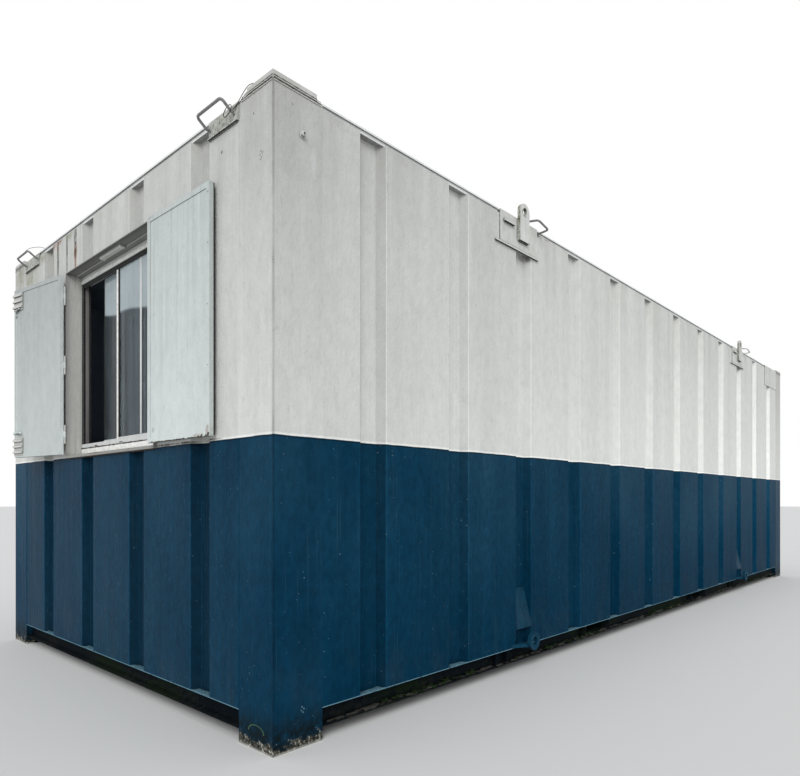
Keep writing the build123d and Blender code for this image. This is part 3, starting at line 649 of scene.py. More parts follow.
    def _battered_foot(self, g: PaintGraph, colour: Socket) -> Socket:
        """The lowest stretch of a post: chipped to primer and metal, with mud and moss.

        Args:
            g: the paint being made.
            colour: the colour so far.

        Returns:
            The colour's socket.
        """
        coarse = g.noise(PLAIN, 24.0, 6.0, 0.72)
        fine = g.noise(PLAIN, 75.0, 4.0, 0.7)
        dark = g.product(g.factors((g.z, 0.17, 0.07), (coarse, 0.70, 0.44)), 0.92)
        colour = g.blend(dark, colour, (0.004, 0.009, 0.011, 1.0))
        worn = g.calc("ADD", g.ramp(g.z, 0.075, 0.0, -0.95, 0.52),
                      g.ramp(coarse, 0.34, 0.66, 0.0, 1.1))
        earth = g.tinted((0.016, 0.018, 0.016, 1.0), (0.13, 0.125, 0.10, 1.0), fine, 0.44, 0.58)
        lit = g.calc("ADD", g.ramp(fine, 0.56, 0.63, 0.0, 0.7),
                     g.ramp(g.z, 0.010, 0.004, 0.0, 0.45))
        earth = g.blend(lit, earth, (0.58, 0.57, 0.52, 1.0))
        return g.tinted(colour, earth, worn, 0.35, 0.60)

    def _flecked(self, g: PaintGraph, colour: Socket) -> Socket:
        """Moss and dirt flecks on the faces towards the window end.

        Args:
            g: the paint being made.
            colour: the colour so far.

        Returns:
            The colour's socket.
        """
        side = g.ramp(g.part_of(g.facing, "X"), -0.5, -0.9)
        flecks = g.noise((1.0, 1.0, 0.6), 75.0, 4.0, 0.7)
        growth = g.product(side, self.side_moss, g.ramp(flecks, 0.36, 0.60))
        colour = g.blend(growth, colour, (0.120, 0.125, 0.065, 1.0))
        dirt = g.product(side, g.ramp(flecks, 0.60, 0.66))
        return g.blend(dirt, colour, (0.035, 0.030, 0.022, 1.0))

    def _placed_shades(self, g: PaintGraph, colour: Socket) -> Socket:
        """Painted shade and light that depend on where a face lies: its side, its height and its depth
        in the reveal, and a patchy darker line along the outer corners.

        Args:
            g: the paint being made.
            colour: the colour so far.

        Returns:
            The colour's socket.
        """
        # painted shade and light on faces that look out the same way as the front wall
        if self.near_side != 1.0:
            colour = g.toned(colour, g.part_of(g.facing, "Y"), -0.6, -0.9, 1.0, self.near_side)
        # painted shade higher up and painted light lower down
        if self.top_shade != 1.0:
            colour = g.toned(colour, g.z, 1.30, 2.30, 2.0 - self.top_shade, self.top_shade)
        # painted shade at the reveal's outer edge and painted light deeper in
        if self.inward is not None:
            start, outer, inner = self.inward
            depth = g.calc("SUBTRACT", g.axis("X"), start)
            colour = g.toned(colour, depth, 0.0, 0.030, outer, 1.0)
            colour = g.toned(colour, depth, 0.030, 0.080, 1.0, inner)
        if self.corners is not None:
            middle = (self.corners.low + self.corners.high) / 2.0
            gaps = [g.calc("SUBTRACT", size / 2.0, g.away(g.axis(name), centre))
                    for name, centre, size in (("X", middle.x, self.corners.length),
                                               ("Y", middle.y, self.corners.width))]
            patchy = g.noise((6.0, 6.0, 2.2), 1.0, 4.0, 0.7)
            line = g.factors((g.calc("ADD", *gaps), 0.004, 0.010, 1.0, 0.0),
                             (patchy, 0.35, 0.65, 0.3, 1.0))
            colour = g.toned(colour, line, 0.0, 1.0, 1.0, 0.62)
        return colour


@dataclass(frozen=True)
class BasePaint:
    """Dark paint of the base frame, buried under mud and moss, with a rubbed top edge."""

    coat: Coat
    paint: Colour = (0.002, 0.005, 0.008, 1.0)
    mud: Colour = (0.036, 0.036, 0.031, 1.0)
    moss: Colour = (0.006, 0.016, 0.005, 1.0)
    dust: Colour = (0.150, 0.250, 0.300, 1.0)
    rubbed: Colour = (0.150, 0.300, 0.380, 1.0)
    bottom: float = 0.054
    top: float = 0.134

    def build(self) -> bpy.types.Material:
        """Make the material.

        Returns:
            The dirty base frame paint.
        """
        g = Graph(self.coat)
        fine = g.noise(PLAIN, 42.0, 6.0, 0.7)
        broad = g.noise((1.0, 1.0, 3.0), 2.4, 4.0)
        low = g.ramp(g.z, self.top - 0.01, self.bottom)
        muddy = g.factors((fine, 0.42, 0.66), (low, 0.0, 1.0, 0.10, 1.0),
                          (broad, 0.40, 0.58, 0.25, 1.0))
        growth = g.factors((broad, 0.50, 0.60), (fine, 0.34, 0.56))
        edge = g.factors((g.z, self.top - 0.011, self.top - 0.006), (fine, 0.28, 0.46))
        upward = g.factors((g.part_of(g.facing, "Z"), 0.5, 0.9),
                           (g.z, self.top - 0.030, self.top - 0.015), (fine, 0.30, 0.55))
        colour = g.blend(muddy, self.paint, self.mud)
        for cover, most, tint in ((growth, 0.8, self.moss), (edge, 0.85, self.rubbed),
                                  (upward, 0.8, self.dust)):
            colour = g.blend(g.product(cover, most), colour, tint)
        # painted shade: darker in corners, by how open each place is
        colour = g.toned(colour, g.openness(0.05), 0.15, 0.75, 0.25, 1.0)
        return g.finish(colour, g.ramp(fine, 0.3, 0.7, 0.65, 0.95), 0.0,
                        g.bumps(fine, 0.004, 0.6), 0.05)


@dataclass(frozen=True)
class PlainFinish:
    """One colour with unevenness and soiling, and painted shade in corners."""

    coat: Coat
    colour: Colour
    soil: Colour = (0.20, 0.19, 0.16, 1.0)
    soiling: float = 0.25
    rough: float = 0.5
    metal: float = 0.0
    grain: float = 24.0
    stretch: Triple = PLAIN
    relief: float = 0.001
    gloss: float = 0.3
    corners: float = 0.5
    far_colour: Colour | None = None

    def build(self) -> bpy.types.Material:
        """Make the material.

        Returns:
            The finished material.
        """
        g = Graph(self.coat)
        fine = g.noise(self.stretch, self.grain, 5.0, 0.65)
        base = self.colour
        if self.far_colour is not None:
            base = g.tinted(base, self.far_colour, g.axis("X"), 0.0, 1.0)
        colour = g.tinted(base, self.soil, fine, 0.40, 0.72, 0.0, self.soiling)
        # painted shade: darker in corners, by how open each place is
        colour = g.toned(colour, g.openness(0.03), 0.2, 0.8, 1.0 - self.corners, 1.0)
        return g.finish(colour, g.ramp(fine, 0.3, 0.7, self.rough, self.rough + 0.15),
                        self.metal, g.bumps(fine, self.relief, 0.5), self.gloss)


@dataclass(frozen=True)
class PaneGlass:
    """Window glass with a painted pale reflection over its upper part and dust low down."""

    coat: Coat
    clear: Colour = (0.50, 0.60, 0.66, 1.0)
    pale_wash: Colour = (0.55, 0.63, 0.66, 1.0)
    reflection_edge: float = 1.975
    reflection_tilt: float = 0.12
    reflection_depth: float = 0.60
    waver: float = 0.05
    bending: float = 1.15

    def build(self) -> bpy.types.Material:
        """Make the material.

        Returns:
            The glass.
        """
        g = Graph(self.coat)
        # painted reflection: the pane is paler and less clear above a wavy, sloping line
        uneven = g.calc("ADD", g.product(g.noise((0.0, 3.0, 0.0), 1.0, 1.0), self.waver),
                        g.product(g.axis("Y"), self.reflection_tilt))
        lift = g.calc("SUBTRACT", g.calc("SUBTRACT", g.z, self.reflection_edge), uneven)
        above = g.ramp(lift, -0.008, 0.008)
        cloud = g.noise((1.0, 3.0, 2.0), 2.0, 3.0)
        colour = g.toned(g.blend(above, self.clear, self.pale_wash), cloud, 0.3, 0.7, 0.88, 1.08)
        dust = g.ramp(g.streaks(0.05, 3.0, 5.0, 1.0), 0.40, 0.60, 0.95, 0.995)
        clearness = g.calc("SUBTRACT", dust, g.product(above, self.reflection_depth))
        g.fill(g.shader, {"IOR": self.bending, "Transmission Weight": clearness})
        return g.finish(colour, 0.03)


class Palette:
    """Every finish, made once and handed out by name."""

    def __init__(self, layout: Layout) -> None:
        """Make all finishes.

        Args:
            layout: where the cabin's walls lie.
        """
        self.layout = layout
        self.made = {recipe.coat: recipe.build()
                     for recipe in (*self._walls(), *self._trim(), *self._plain())}

    def __getitem__(self, coat: Coat) -> bpy.types.Material:
        """The material of one finish."""
        return self.made[coat]

    def _end_marks(self, *marks: tuple) -> tuple[Mark, ...]:
        """Marks on the window end: each one's run, height, and reach sideways and upward."""
        return tuple(Mark(tuple(self.layout.end(run, 0.0, z)), (MARK_DEPTH, wide, tall))
                     for run, z, wide, tall in marks)

    def _front_marks(self, *marks: tuple) -> tuple[Mark, ...]:
        """Marks on the front wall, given like those on the window end."""
        return tuple(Mark(tuple(self.layout.front(run, 0.0, z)), (wide, MARK_DEPTH, tall))
                     for run, z, wide, tall in marks)

    def _walls(self) -> list[WeatheredPaint]:
        """Paint of the corrugated walls, the posts and the door.

        Returns:
            The recipes.
        """
        low, high = self.layout.low, self.layout.high
        middle = (low + high) / 2.0
        long_folds = Folds("X", "Y", low.x, high.x, middle.y, self.layout.width / 2.0)
        end_folds = Folds("Y", "X", low.y, high.y, middle.x, self.layout.length / 2.0)
        end, front = self._end_marks, self._front_marks
        return [
            WeatheredPaint(
                Coat.LONG_WALL, folds=long_folds, gloss=0.012, top_shade=0.93,
                pale_wash=(0.08, 0.40), low_shade=0.82,
                white_shades=FoldShades(0.72, 1.30, 1.03, 0.08, 0.15),
                blue_shades=FoldShades(0.56, 1.30, 0.94, 0.30),
                # painted shadow: dark marks in the recess by the first lifting plate and under both
                # lifting plates
                dark_marks=front((1.895, 2.552, 0.070, 0.022), (1.780, 2.385, 0.085, 0.030),
                                 (6.040, 2.385, 0.085, 0.030)),
                rust_marks=front((2.005, 2.560, 0.060, 0.020))),
            WeatheredPaint(
                # painted shade: the end wall's blue is a darker copy of the long walls' blue
                Coat.END_WALL, folds=end_folds, lower=(0.0004, 0.0290, 0.0640, 1.0),
                top_shade=0.95, pale_wash=(0.22, 0.20), low_shade=0.96,
                white_shades=FoldShades(0.80, 0.80, 0.86, 0.07),
                blue_shades=FoldShades(0.50, 0.60, 0.60, 0.35),
                rust_marks=end((2.310, 2.548, 0.100, 0.052), (2.190, 2.558, 0.080, 0.044),
                               (2.289, 2.440, 0.022, 0.170), (2.204, 2.530, 0.022, 0.070),
                               (1.927, 2.412, 0.032, 0.075), (1.927, 2.350, 0.018, 0.090)),
                moss_marks=end((2.030, 2.545, 0.075, 0.050), (2.480, 2.530, 0.110, 0.060),
                               (2.790, 2.470, 0.075, 0.050), (2.700, 2.430, 0.160, 0.130)),
                dark_marks=end((2.204, 2.430, 0.017, 0.190), (2.058, 2.440, 0.015, 0.190),
                               (1.927, 2.500, 0.028, 0.120), (1.935, 2.425, 0.014, 0.060),
                               (2.800, 2.380, 0.014, 0.130), (0.354, 2.413, 0.010, 0.010),
                               # painted shadow: the last three dark marks, under the near leaf's
                               # bottom edge
                               (0.480, 1.227, 0.150, 0.007), (0.660, 1.227, 0.150, 0.007),
                               (0.840, 1.227, 0.150, 0.007))),
            WeatheredPaint(
                # painted shade: the post's faces that look out the same way as the front wall are
                # slightly darker
                Coat.POST, foot=True, corners=self.layout, top_shade=0.88, near_side=0.95,
                moss_marks=end((2.900, 2.500, 0.130, 0.130)),
                dark_marks=(*front((0.092, 2.504, 0.006, 0.006)),
                            *end((0.127, 2.479, 0.006, 0.006))),
                pale_marks=front((0.196, 2.318, 0.016, 0.075))),
            WeatheredPaint(Coat.DOOR, chips=0.5),
        ]

    def _trim(self) -> list[WeatheredPaint]:
        """Paint of the small white and blue pieces.

        Returns:
            The recipes.
        """
        end = self._end_marks
        white = partial(WeatheredPaint, line=0.0)
        return [
            white(Coat.TRIM, edges=0.80, underside=0.45),
            # painted light: the roof sheet and rails take a brighter copy of the walls' white
            white(Coat.ROOF, upper=(0.84, 0.85, 0.84, 1.0), roof_grime=0.06, chips=0.9,
                  edges=0.10, underside=0.36),
            white(Coat.LEDGE, upper=(0.66, 0.665, 0.64, 1.0), roof_grime=0.10, mossy=0.16,
                  side_moss=0.5, edges=0.90, underside=0.15),
            # painted shade: a darker copy of the walls' white, darkest at the reveal's outer edge and
            # lighter deeper in
            white(Coat.REVEAL, upper=(0.520, 0.520, 0.490, 1.0), chips=0.9, edges=0.5,
                  inward=(self.layout.low.x - 0.016, 0.60, 1.22),
                  rust_marks=end((1.620, 1.236, 0.140, 0.014), (1.200, 1.236, 0.060, 0.010))),
            white(Coat.NEAR_LEAF, upper=(0.61, 0.660, 0.645, 1.0), chips=0.2, roof_grime=0.0,
                  edges=0.10, top_shade=0.90, near_side=0.84, streaking=0.13,
                  rust_marks=end((0.480, 1.246, 0.070, 0.013), (0.408, 1.266, 0.024, 0.034),
                                 (0.900, 2.288, 0.060, 0.008)),
                  dark_marks=end((0.953, 1.305, 0.024, 0.020), (0.874, 1.296, 0.026, 0.022),
                                 (0.402, 1.242, 0.016, 0.014), (0.455, 1.240, 0.020, 0.008))),
            # painted shade and light: a darker copy of the leaves' white, with faces that look out the
            # same way as the front wall much lighter
            white(Coat.FAR_LEAF, upper=(0.490, 0.527, 0.515, 1.0), roof_grime=0.0, edges=0.10,
                  top_shade=0.89, near_side=1.65, streaking=0.06,
                  rust_marks=end((2.041, 2.190, 0.0060, 0.120), (2.041, 2.080, 0.005, 0.060)),
                  dark_marks=end((2.140, 1.255, 0.018, 0.016))),
            white(Coat.LIFTING, upper=(0.70, 0.705, 0.68, 1.0), mossy=0.22, side_moss=0.9,
                  roof_grime=0.08, edges=0.90, underside=0.12),
            WeatheredPaint(Coat.BLUE, line=9.0, lower=(0.004, 0.041, 0.078, 1.0), edges=0.6,
                           underside=0.2, low_shade=1.0),
        ]

    def _plain(self) -> list[BasePaint | PlainFinish | PaneGlass]:
        """Everything that isn't wall paint.

        Returns:
            The recipes.
        """
        return [
            BasePaint(Coat.BASE),
            PlainFinish(Coat.STEEL, (0.23, 0.24, 0.24, 1.0), metal=0.6, gloss=0.5),
            PlainFinish(Coat.HOOP, (0.235, 0.240, 0.240, 1.0), (0.07, 0.05, 0.04, 1.0), 0.5,
                        metal=0.15, grain=60.0, gloss=0.5, far_colour=(0.66, 0.67, 0.65, 1.0)),
            PlainFinish(Coat.WIRE, (0.055, 0.040, 0.030, 1.0), rough=0.7, metal=0.3),
            # black rubber, also the painted shadow strips under the window head and behind the near
            # leaf
            PlainFinish(Coat.RUBBER, (0.012, 0.012, 0.013, 1.0), rough=0.7, soiling=0.1),
            PlainFinish(Coat.FRAME, (0.66, 0.68, 0.67, 1.0), rough=0.35, soiling=0.22,
                        stretch=(1.0, 1.0, 0.3)),
            PaneGlass(Coat.GLASS),
            PlainFinish(Coat.LAMP, (0.60, 0.60, 0.56, 1.0), rough=0.3, grain=9.0),
            # flaking sill paint, also the painted highlight strip on the window head
            PlainFinish(Coat.SILL, (0.94, 0.94, 0.91, 1.0), (0.34, 0.31, 0.25, 1.0), 0.40, 0.6,
                        grain=60.0, stretch=(1.0, 0.5, 1.0), relief=0.002, corners=0.2),
            PlainFinish(Coat.TIMBER, (0.24, 0.225, 0.22, 1.0), (0.11, 0.10, 0.10, 1.0), 0.8, 0.7,
                        grain=30.0, stretch=(1.0, 1.0, 0.08)),
            PlainFinish(Coat.VINYL, (0.16, 0.15, 0.14, 1.0), rough=0.4, grain=9.0),
            PlainFinish(Coat.BOARD, (0.42, 0.50, 0.60, 1.0), grain=5.0),
            PlainFinish(Coat.MUD, (0.050, 0.048, 0.042, 1.0), (0.02, 0.02, 0.016, 1.0), 0.9, 0.9,
                        grain=70.0, relief=0.003, gloss=0.1),
            PlainFinish(Coat.MOSS, (0.008, 0.020, 0.006, 1.0), (0.018, 0.028, 0.010, 1.0), 0.9,
                        0.95, grain=120.0, relief=0.004, gloss=0.1),
            PlainFinish(Coat.LICHEN, (0.10, 0.19, 0.10, 1.0), (0.03, 0.08, 0.04, 1.0), 0.8, 0.95,
                        grain=90.0, relief=0.002, gloss=0.1),
            PlainFinish(Coat.DUST, (0.080, 0.180, 0.240, 1.0), (0.10, 0.15, 0.17, 1.0), 0.7, 0.95,
                        grain=60.0, relief=0.002, gloss=0.1),
            # painted shadow: the dark lines under the cap plates and by the lifting lugs
            PlainFinish(Coat.SHADOW_LINE, (0.085, 0.082, 0.075, 1.0), soiling=0.4, rough=0.95,
                        grain=80.0, relief=0.002, gloss=0.1),
        ]


def spread(points: Sequence[Vector], step: float) -> list[Vector]:
    """Points at an even step along straight runs.

    Args:
        points: the runs' ends.
        step: about how far apart the new points are.

    Returns:
        The points, with every given one among them.
    """
    result = [Vector(points[0])]
    for start, stop in zip(points, points[1:]):
        count = max(1, round((stop - start).length / step))
        result += [start.lerp(stop, index / count) for index in range(1, count + 1)]
    return result


def rounded(points: Sequence[Vector], steps: int = 6) -> list[Vector]:
    """A smooth line through points, for bent wire and rod.

    Args:
        points: what the line passes through.
        steps: how many short runs replace each long one.

    Returns:
        The points of the line.
    """
    path = list(points)
    ends = [path[0] * 2.0 - path[1], *path, path[-1] * 2.0 - path[-2]]
    result = []
    for index in range(1, len(ends) - 2):
        a, b, c, d = ends[index - 1:index + 3]
        for t in (step / steps for step in range(steps)):
            result.append(0.5 * (2.0 * b + (c - a) * t + (2.0 * a - 5.0 * b + 4.0 * c - d) * t * t
                                 + (3.0 * b - a - 3.0 * c + d) * t ** 3))
    return result + [path[-1]]


def circle(centre: Vector, across: Vector, up: Vector, size: float, sides: int) -> list[Vector]:
    """Points round a circle.

    Args:
        centre: its middle.
        across: the direction of its first point.
        up: the direction a quarter turn on.
        size: its radius, where the directions have a length of 1.
        sides: how many points it has.

    Returns:
        The points.
    """
    turns = [math.tau * side / sides for side in range(sides)]
    return [centre + (across * math.cos(turn) + up * math.sin(turn)) * size for turn in turns]


class Sculpt:
    """A mesh in the making: forms are added one by one, and then it is dressed."""

    def __init__(self, name: str) -> None:
        """Start an empty mesh.

        Args:
            name: the piece's name.
        """
        self.name = name
        self.bm = bmesh.new()
        self.rng = random.Random(name)

    def _ring(self, points: Iterable[Vector]) -> list[bmesh.types.BMVert]:
        """New corners of the mesh at some points."""
        return [self.bm.verts.new(point) for point in points]

    def _skin(self, first: list[bmesh.types.BMVert], second: list[bmesh.types.BMVert]) -> None:
        """Faces between two rings.

        Args:
            first: one ring, or a single corner where the form closes.
            second: the next one.
        """
        sides = max(len(first), len(second))
        for side in range(sides):
            other = (side + 1) % sides
            before = (first[0],) if len(first) == 1 else (first[side], first[other])
            after = (second[0],) if len(second) == 1 else (second[other], second[side])
            self.bm.faces.new((*before, *after))

    def tube(self, points: Sequence[Vector], radius: float, sides: int = 6,
             wobble: float = 0.0, closed: bool = False) -> None:
        """A round rod, wire or bead along a line of points.

        Args:
            points: the line.
            radius: the rod's radius.
            sides: how many sides its section has.
            wobble: how much the radius varies, as a share.
            closed: true for a ring.
        """
        across = None
        rings = []
        count = len(points)
        for index, point in enumerate(points):
            before = points[index - 1] if index or closed else points[0]
            after = points[(index + 1) % count] if index + 1 < count or closed else point
            ahead = (after - before).normalized()
            across = ahead.orthogonal() if across is None else across
            across = (across - ahead * across.dot(ahead)).normalized()
            size = radius * (1.0 + wobble * self.rng.uniform(-1.0, 1.0))
            rings.append(self._ring(circle(point, across, ahead.cross(across), size, sides)))
        for first, second in zip(rings, rings[1:]):
            self._skin(first, second)
        if closed:
            self._skin(rings[-1], rings[0])
        else:
            self.bm.faces.new(rings[0])
            self.bm.faces.new(rings[-1])

    def line(self, points: Sequence[Vector], radius: float, step: float = 0.008,
             wobble: float = 0.5) -> None:
        """A seam or a line of dirt along straight runs, with a point at every step."""
        self.tube(spread(points, step), radius, 6, wobble)

    def weld(self, points: Sequence[Vector], radius: float = 0.004) -> None:
        """A weld bead: a lumpy rod along straight runs."""
        self.line(points, radius, radius * 1.8, 0.28)

    def turned(self, profile: Sequence[tuple[float, float]], centre: Vector, axis: Triple,
               sides: int = 20) -> None:
        """A round form from its outline.

        Args:
            profile: radius and rise pairs from one end to the other.
            centre: where the axis starts.
            axis: its direction.
            sides: how many sides it has.
        """
        ahead = Vector(axis).normalized()
        across = ahead.orthogonal().normalized()
        up = ahead.cross(across)
        rings = [self._ring(circle(centre + ahead * rise, across, up, radius,
                                   sides if radius else 1))
                 for radius, rise in profile]
        for first, second in zip(rings, rings[1:]):
            self._skin(first, second)

    def screw(self, centre: Vector, axis: Triple, radius: float = 0.005) -> None:
        """A domed screw head on a washer.

        Args:
            centre: where it sits on the surface.
            axis: which way it points.
            radius: the washer's radius.
        """
        self.turned(((0.0, -0.0005), (radius, -0.0005), (radius, 0.0012), (radius * 0.62, 0.0015),
                     (radius * 0.60, 0.0034), (radius * 0.35, 0.0046), (0.0, 0.0049)),
                    centre, axis, 12)

    def bar(self, low: Sequence[float], high: Sequence[float], bevel: float = 0.0012) -> None:
        """A strip or plate with softened edges.

        Args:
            low: one corner.
            high: the opposite corner.
            bevel: how far its edges are softened.
        """
        size = [abs(b - a) for a, b in zip(low, high)]
        middle = [(a + b) / 2.0 for a, b in zip(low, high)]
        place = Matrix.Translation(middle) @ Matrix.Diagonal((*size, 1.0))
        made = bmesh.ops.create_cube(self.bm, size=1.0, matrix=place)
        edges = list({edge for vert in made["verts"] for edge in vert.link_edges})
        bmesh.ops.bevel(self.bm, geom=edges, offset=min(bevel, min(size) * 0.4), segments=2,
                        affect="EDGES", profile=0.5)

    def lump(self, centre: Vector, size: Triple, rough: float = 0.3) -> None:
        """A clod of earth or a cushion of moss.

        Args:
            centre: its middle.
            size: its half sizes.
            rough: how uneven it is.
        """
        made = bmesh.ops.create_icosphere(self.bm, subdivisions=2, radius=1.0)
        for vert in made["verts"]:
            shake = 1.0 + rough * self.rng.uniform(-1.0, 1.0)
            vert.co = centre + Vector([c * s * shake for c, s in zip(vert.co, size)])

    def place(self, material: bpy.types.Material, slot: Slot, body: str = CABIN) -> None:
        """Turn the forms into a piece that rides on a body.

        Args:
            material: its finish.
            slot: the record's slot for that finish; not used.
            body: the body that carries it.
        """
        bmesh.ops.recalc_face_normals(self.bm, faces=self.bm.faces)
        mesh = bpy.data.meshes.new(self.name)
        self.bm.to_mesh(mesh)
        self.bm.free()
        for polygon in mesh.polygons:
            polygon.use_smooth = True
        mesh.set_sharp_from_angle(angle=SHARP_ANGLE)
        mesh.materials.append(material)
        piece = bpy.data.objects.new(self.name, mesh)
        bpy.context.collection.objects.link(piece)
        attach(piece, body)
        LOG.info("%s: %d faces, on %s", self.name, len(mesh.polygons), body)


@dataclass
class Shell:
    """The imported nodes: each keeps its shape and gets its finish."""

    palette: Palette
    by_coat: dict[Coat, tuple[str, ...]] = field(default_factory=lambda: {
        Coat.LONG_WALL: ("front_wall", "back_wall_left", "back_wall_right",
                         "back_wall_over_door"),
        Coat.END_WALL: ("far_end_wall", "window_wall_sides", "window_wall_bands"),
        Coat.POST: ("corner_posts",),
        Coat.DOOR: ("door_leaf", "door_frame"),
        Coat.ROOF: ("roof_sheet", "top_rails"),
        Coat.LEDGE: ("hoop_ledges", "lifting_plates"),
        Coat.REVEAL: ("window_surround", "reveal_liner"),
        Coat.NEAR_LEAF: (NEAR_LEAF,),
        Coat.FAR_LEAF: (FAR_LEAF,),
        Coat.LIFTING: ("lifting_lugs",),
        Coat.HOOP: ("roof_hoops",),
        Coat.TRIM: ("shutter_hinges",),
        Coat.FRAME: ("window_packers",),
    })
    by_slot: dict[Slot, Coat] = field(default_factory=lambda: {
        Slot.TWO_TONE: Coat.POST,
        Slot.WHITE: Coat.TRIM,
        Slot.BLUE: Coat.BLUE,
        Slot.BASE: Coat.BASE,
        Slot.FLOOR: Coat.VINYL,
        Slot.BOARD: Coat.BOARD,
        Slot.ALUMINIUM: Coat.FRAME,
        Slot.GLASS: Coat.GLASS,
        Slot.STEEL: Coat.STEEL,
        Slot.LAMP: Coat.LAMP,
    })

    def dress(self) -> None:
        """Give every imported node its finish: one of its own, or its slot's."""
        own = {name: coat for coat, names in self.by_coat.items() for name in names}
        slots = {part["node"]: Slot(part["material_slot"]) for part in frame["record"]["subparts"]}
        for name, obj in frame["nodes"].items():
            coat = own.get(name, self.by_slot[slots[name]])
            obj.data.materials.clear()
            obj.data.materials.append(self.palette[coat])
            LOG.info("%s: %s", name, coat.value)


@dataclass
class Details:
    """What every group of small pieces starts from."""

    layout: Layout
    palette: Palette


@dataclass
class CornerDetails(Details):
    """Weld beads, seams and small fittings on the posts and their caps."""

    post_long: float = 0.242
    post_end: float = 0.230
    cap_long: float = 0.236
    cap_end: float = 0.208
    top_long: float = 0.213
    top_end: float = 0.172
    post_top: float = 2.565
    cap_plate: float = 0.012
    cap_margin: float = 0.003
    rail_top: float = 0.134
    bead: float = 0.0035
    bead_drop: float = 0.0055
    seam_sunk: float = 0.0012
    boss_run: float = 0.138
    boss_height: float = 2.403
    boss_radius: float = 0.014

    def build(self) -> None:
        """Make every piece at the corners."""
        self._cap_welds()
        self._post_seams()
        self._near_post_marks()

    def _cap_welds(self) -> None:
        """Rough beads under the caps and between their two plates, under dark lines of painted shadow.
        """
        beads, gaps = Sculpt("cap_weld_beads"), Sculpt("cap_joint_dirt")
        step = self.post_top + self.cap_plate
        length, width = self.layout.length, self.layout.width
        front, back, end = self.layout.front, partial(self.layout.front, back=True), self.layout.end
        for place, whole, cap, top in ((front, length, self.cap_long, self.top_long),
                                       (back, length, self.cap_long, self.top_long),
                                       (end, width, self.cap_end, self.top_end)):
            for start, sign in ((0.0, 1.0), (whole, -1.0)):
                for z, reach in ((self.post_top, cap), (step, top)):
                    joint = [place(start + sign * run, 0.0, z) for run in (self.cap_margin, reach)]
                    # painted shadow: a dark line along each joint under a plate
                    gaps.line(joint, 0.0022, 0.01, 0.35)
                    beads.weld([point - UP * self.bead_drop for point in joint], self.bead)
        beads.place(self.palette[Coat.TRIM], Slot.WHITE)
        gaps.place(self.palette[Coat.SHADOW_LINE], Slot.WHITE)

    def _post_seams(self) -> None:
        """Thin sealed seams where the posts meet the wall sheets."""
        seams = Sculpt("post_seams")
        front, back, end = self.layout.front, partial(self.layout.front, back=True), self.layout.end
        for place, whole, post in ((front, self.layout.length, self.post_long),
                                   (back, self.layout.length, self.post_long),
                                   (end, self.layout.width, self.post_end)):
            for run in (post, whole - post):
                seams.line([place(run, -self.seam_sunk, z)
                            for z in (self.rail_top, self.post_top - 0.02)], 0.0030, 0.03, 0.15)
        seams.place(self.palette[Coat.POST], Slot.TWO_TONE)

    def _near_post_marks(self) -> None:
        """The boss, the old weld scars and the scuffed, mossy foot of the near post."""
        front, end = self.layout.front, self.layout.end
        boss, radius = Sculpt("post_boss"), self.boss_radius
        boss.turned(((radius * 1.05, -0.001), (radius * 1.05, 0.003), (radius * 0.8, 0.005),
                     (radius * 0.75, 0.014), (radius * 0.45, 0.017), (radius * 0.30, 0.012),
                     (0.0, 0.012)), front(self.boss_run, 0.0, self.boss_height),
                    (0.0, -1.0, 0.0), 18)
        boss.place(self.palette[Coat.TRIM], Slot.WHITE)
        scars = Sculpt("post_weld_scars")
        for run, z, size in ((0.077, 2.318, 0.007), (0.083, 2.304, 0.006), (0.072, 2.294, 0.007),
                             (0.080, 2.285, 0.005), (0.066, 2.307, 0.005)):
            scars.lump(end(run, 0.0, z), (0.0025, size, size * 0.8), 0.35)
        for z in (1.890, 1.880, 1.870):
            scars.lump(end(0.001, -0.001, z), (0.0030, 0.003, 0.0045), 0.4)
        scars.place(self.palette[Coat.POST], Slot.TWO_TONE)
        arc = Sculpt("foot_lichen")
        for turn in range(19):
            angle = math.pi * turn / 18.0
            arc.lump(end(0.110 + 0.050 * math.cos(angle), 0.0, 0.070 + 0.026 * math.sin(angle)),
                     (0.0013, 0.0040, 0.0018), 0.5)
        arc.place(self.palette[Coat.LICHEN], Slot.TWO_TONE)
        scuff = Sculpt("foot_scuff")
        for run, z in ((0.138, 0.160), (0.147, 0.151), (0.134, 0.147), (0.142, 0.138)):
            scuff.lump(front(run, 0.0, z), (0.0036, 0.0010, 0.0036), 0.5)
        scuff.place(self.palette[Coat.DUST], Slot.TWO_TONE)


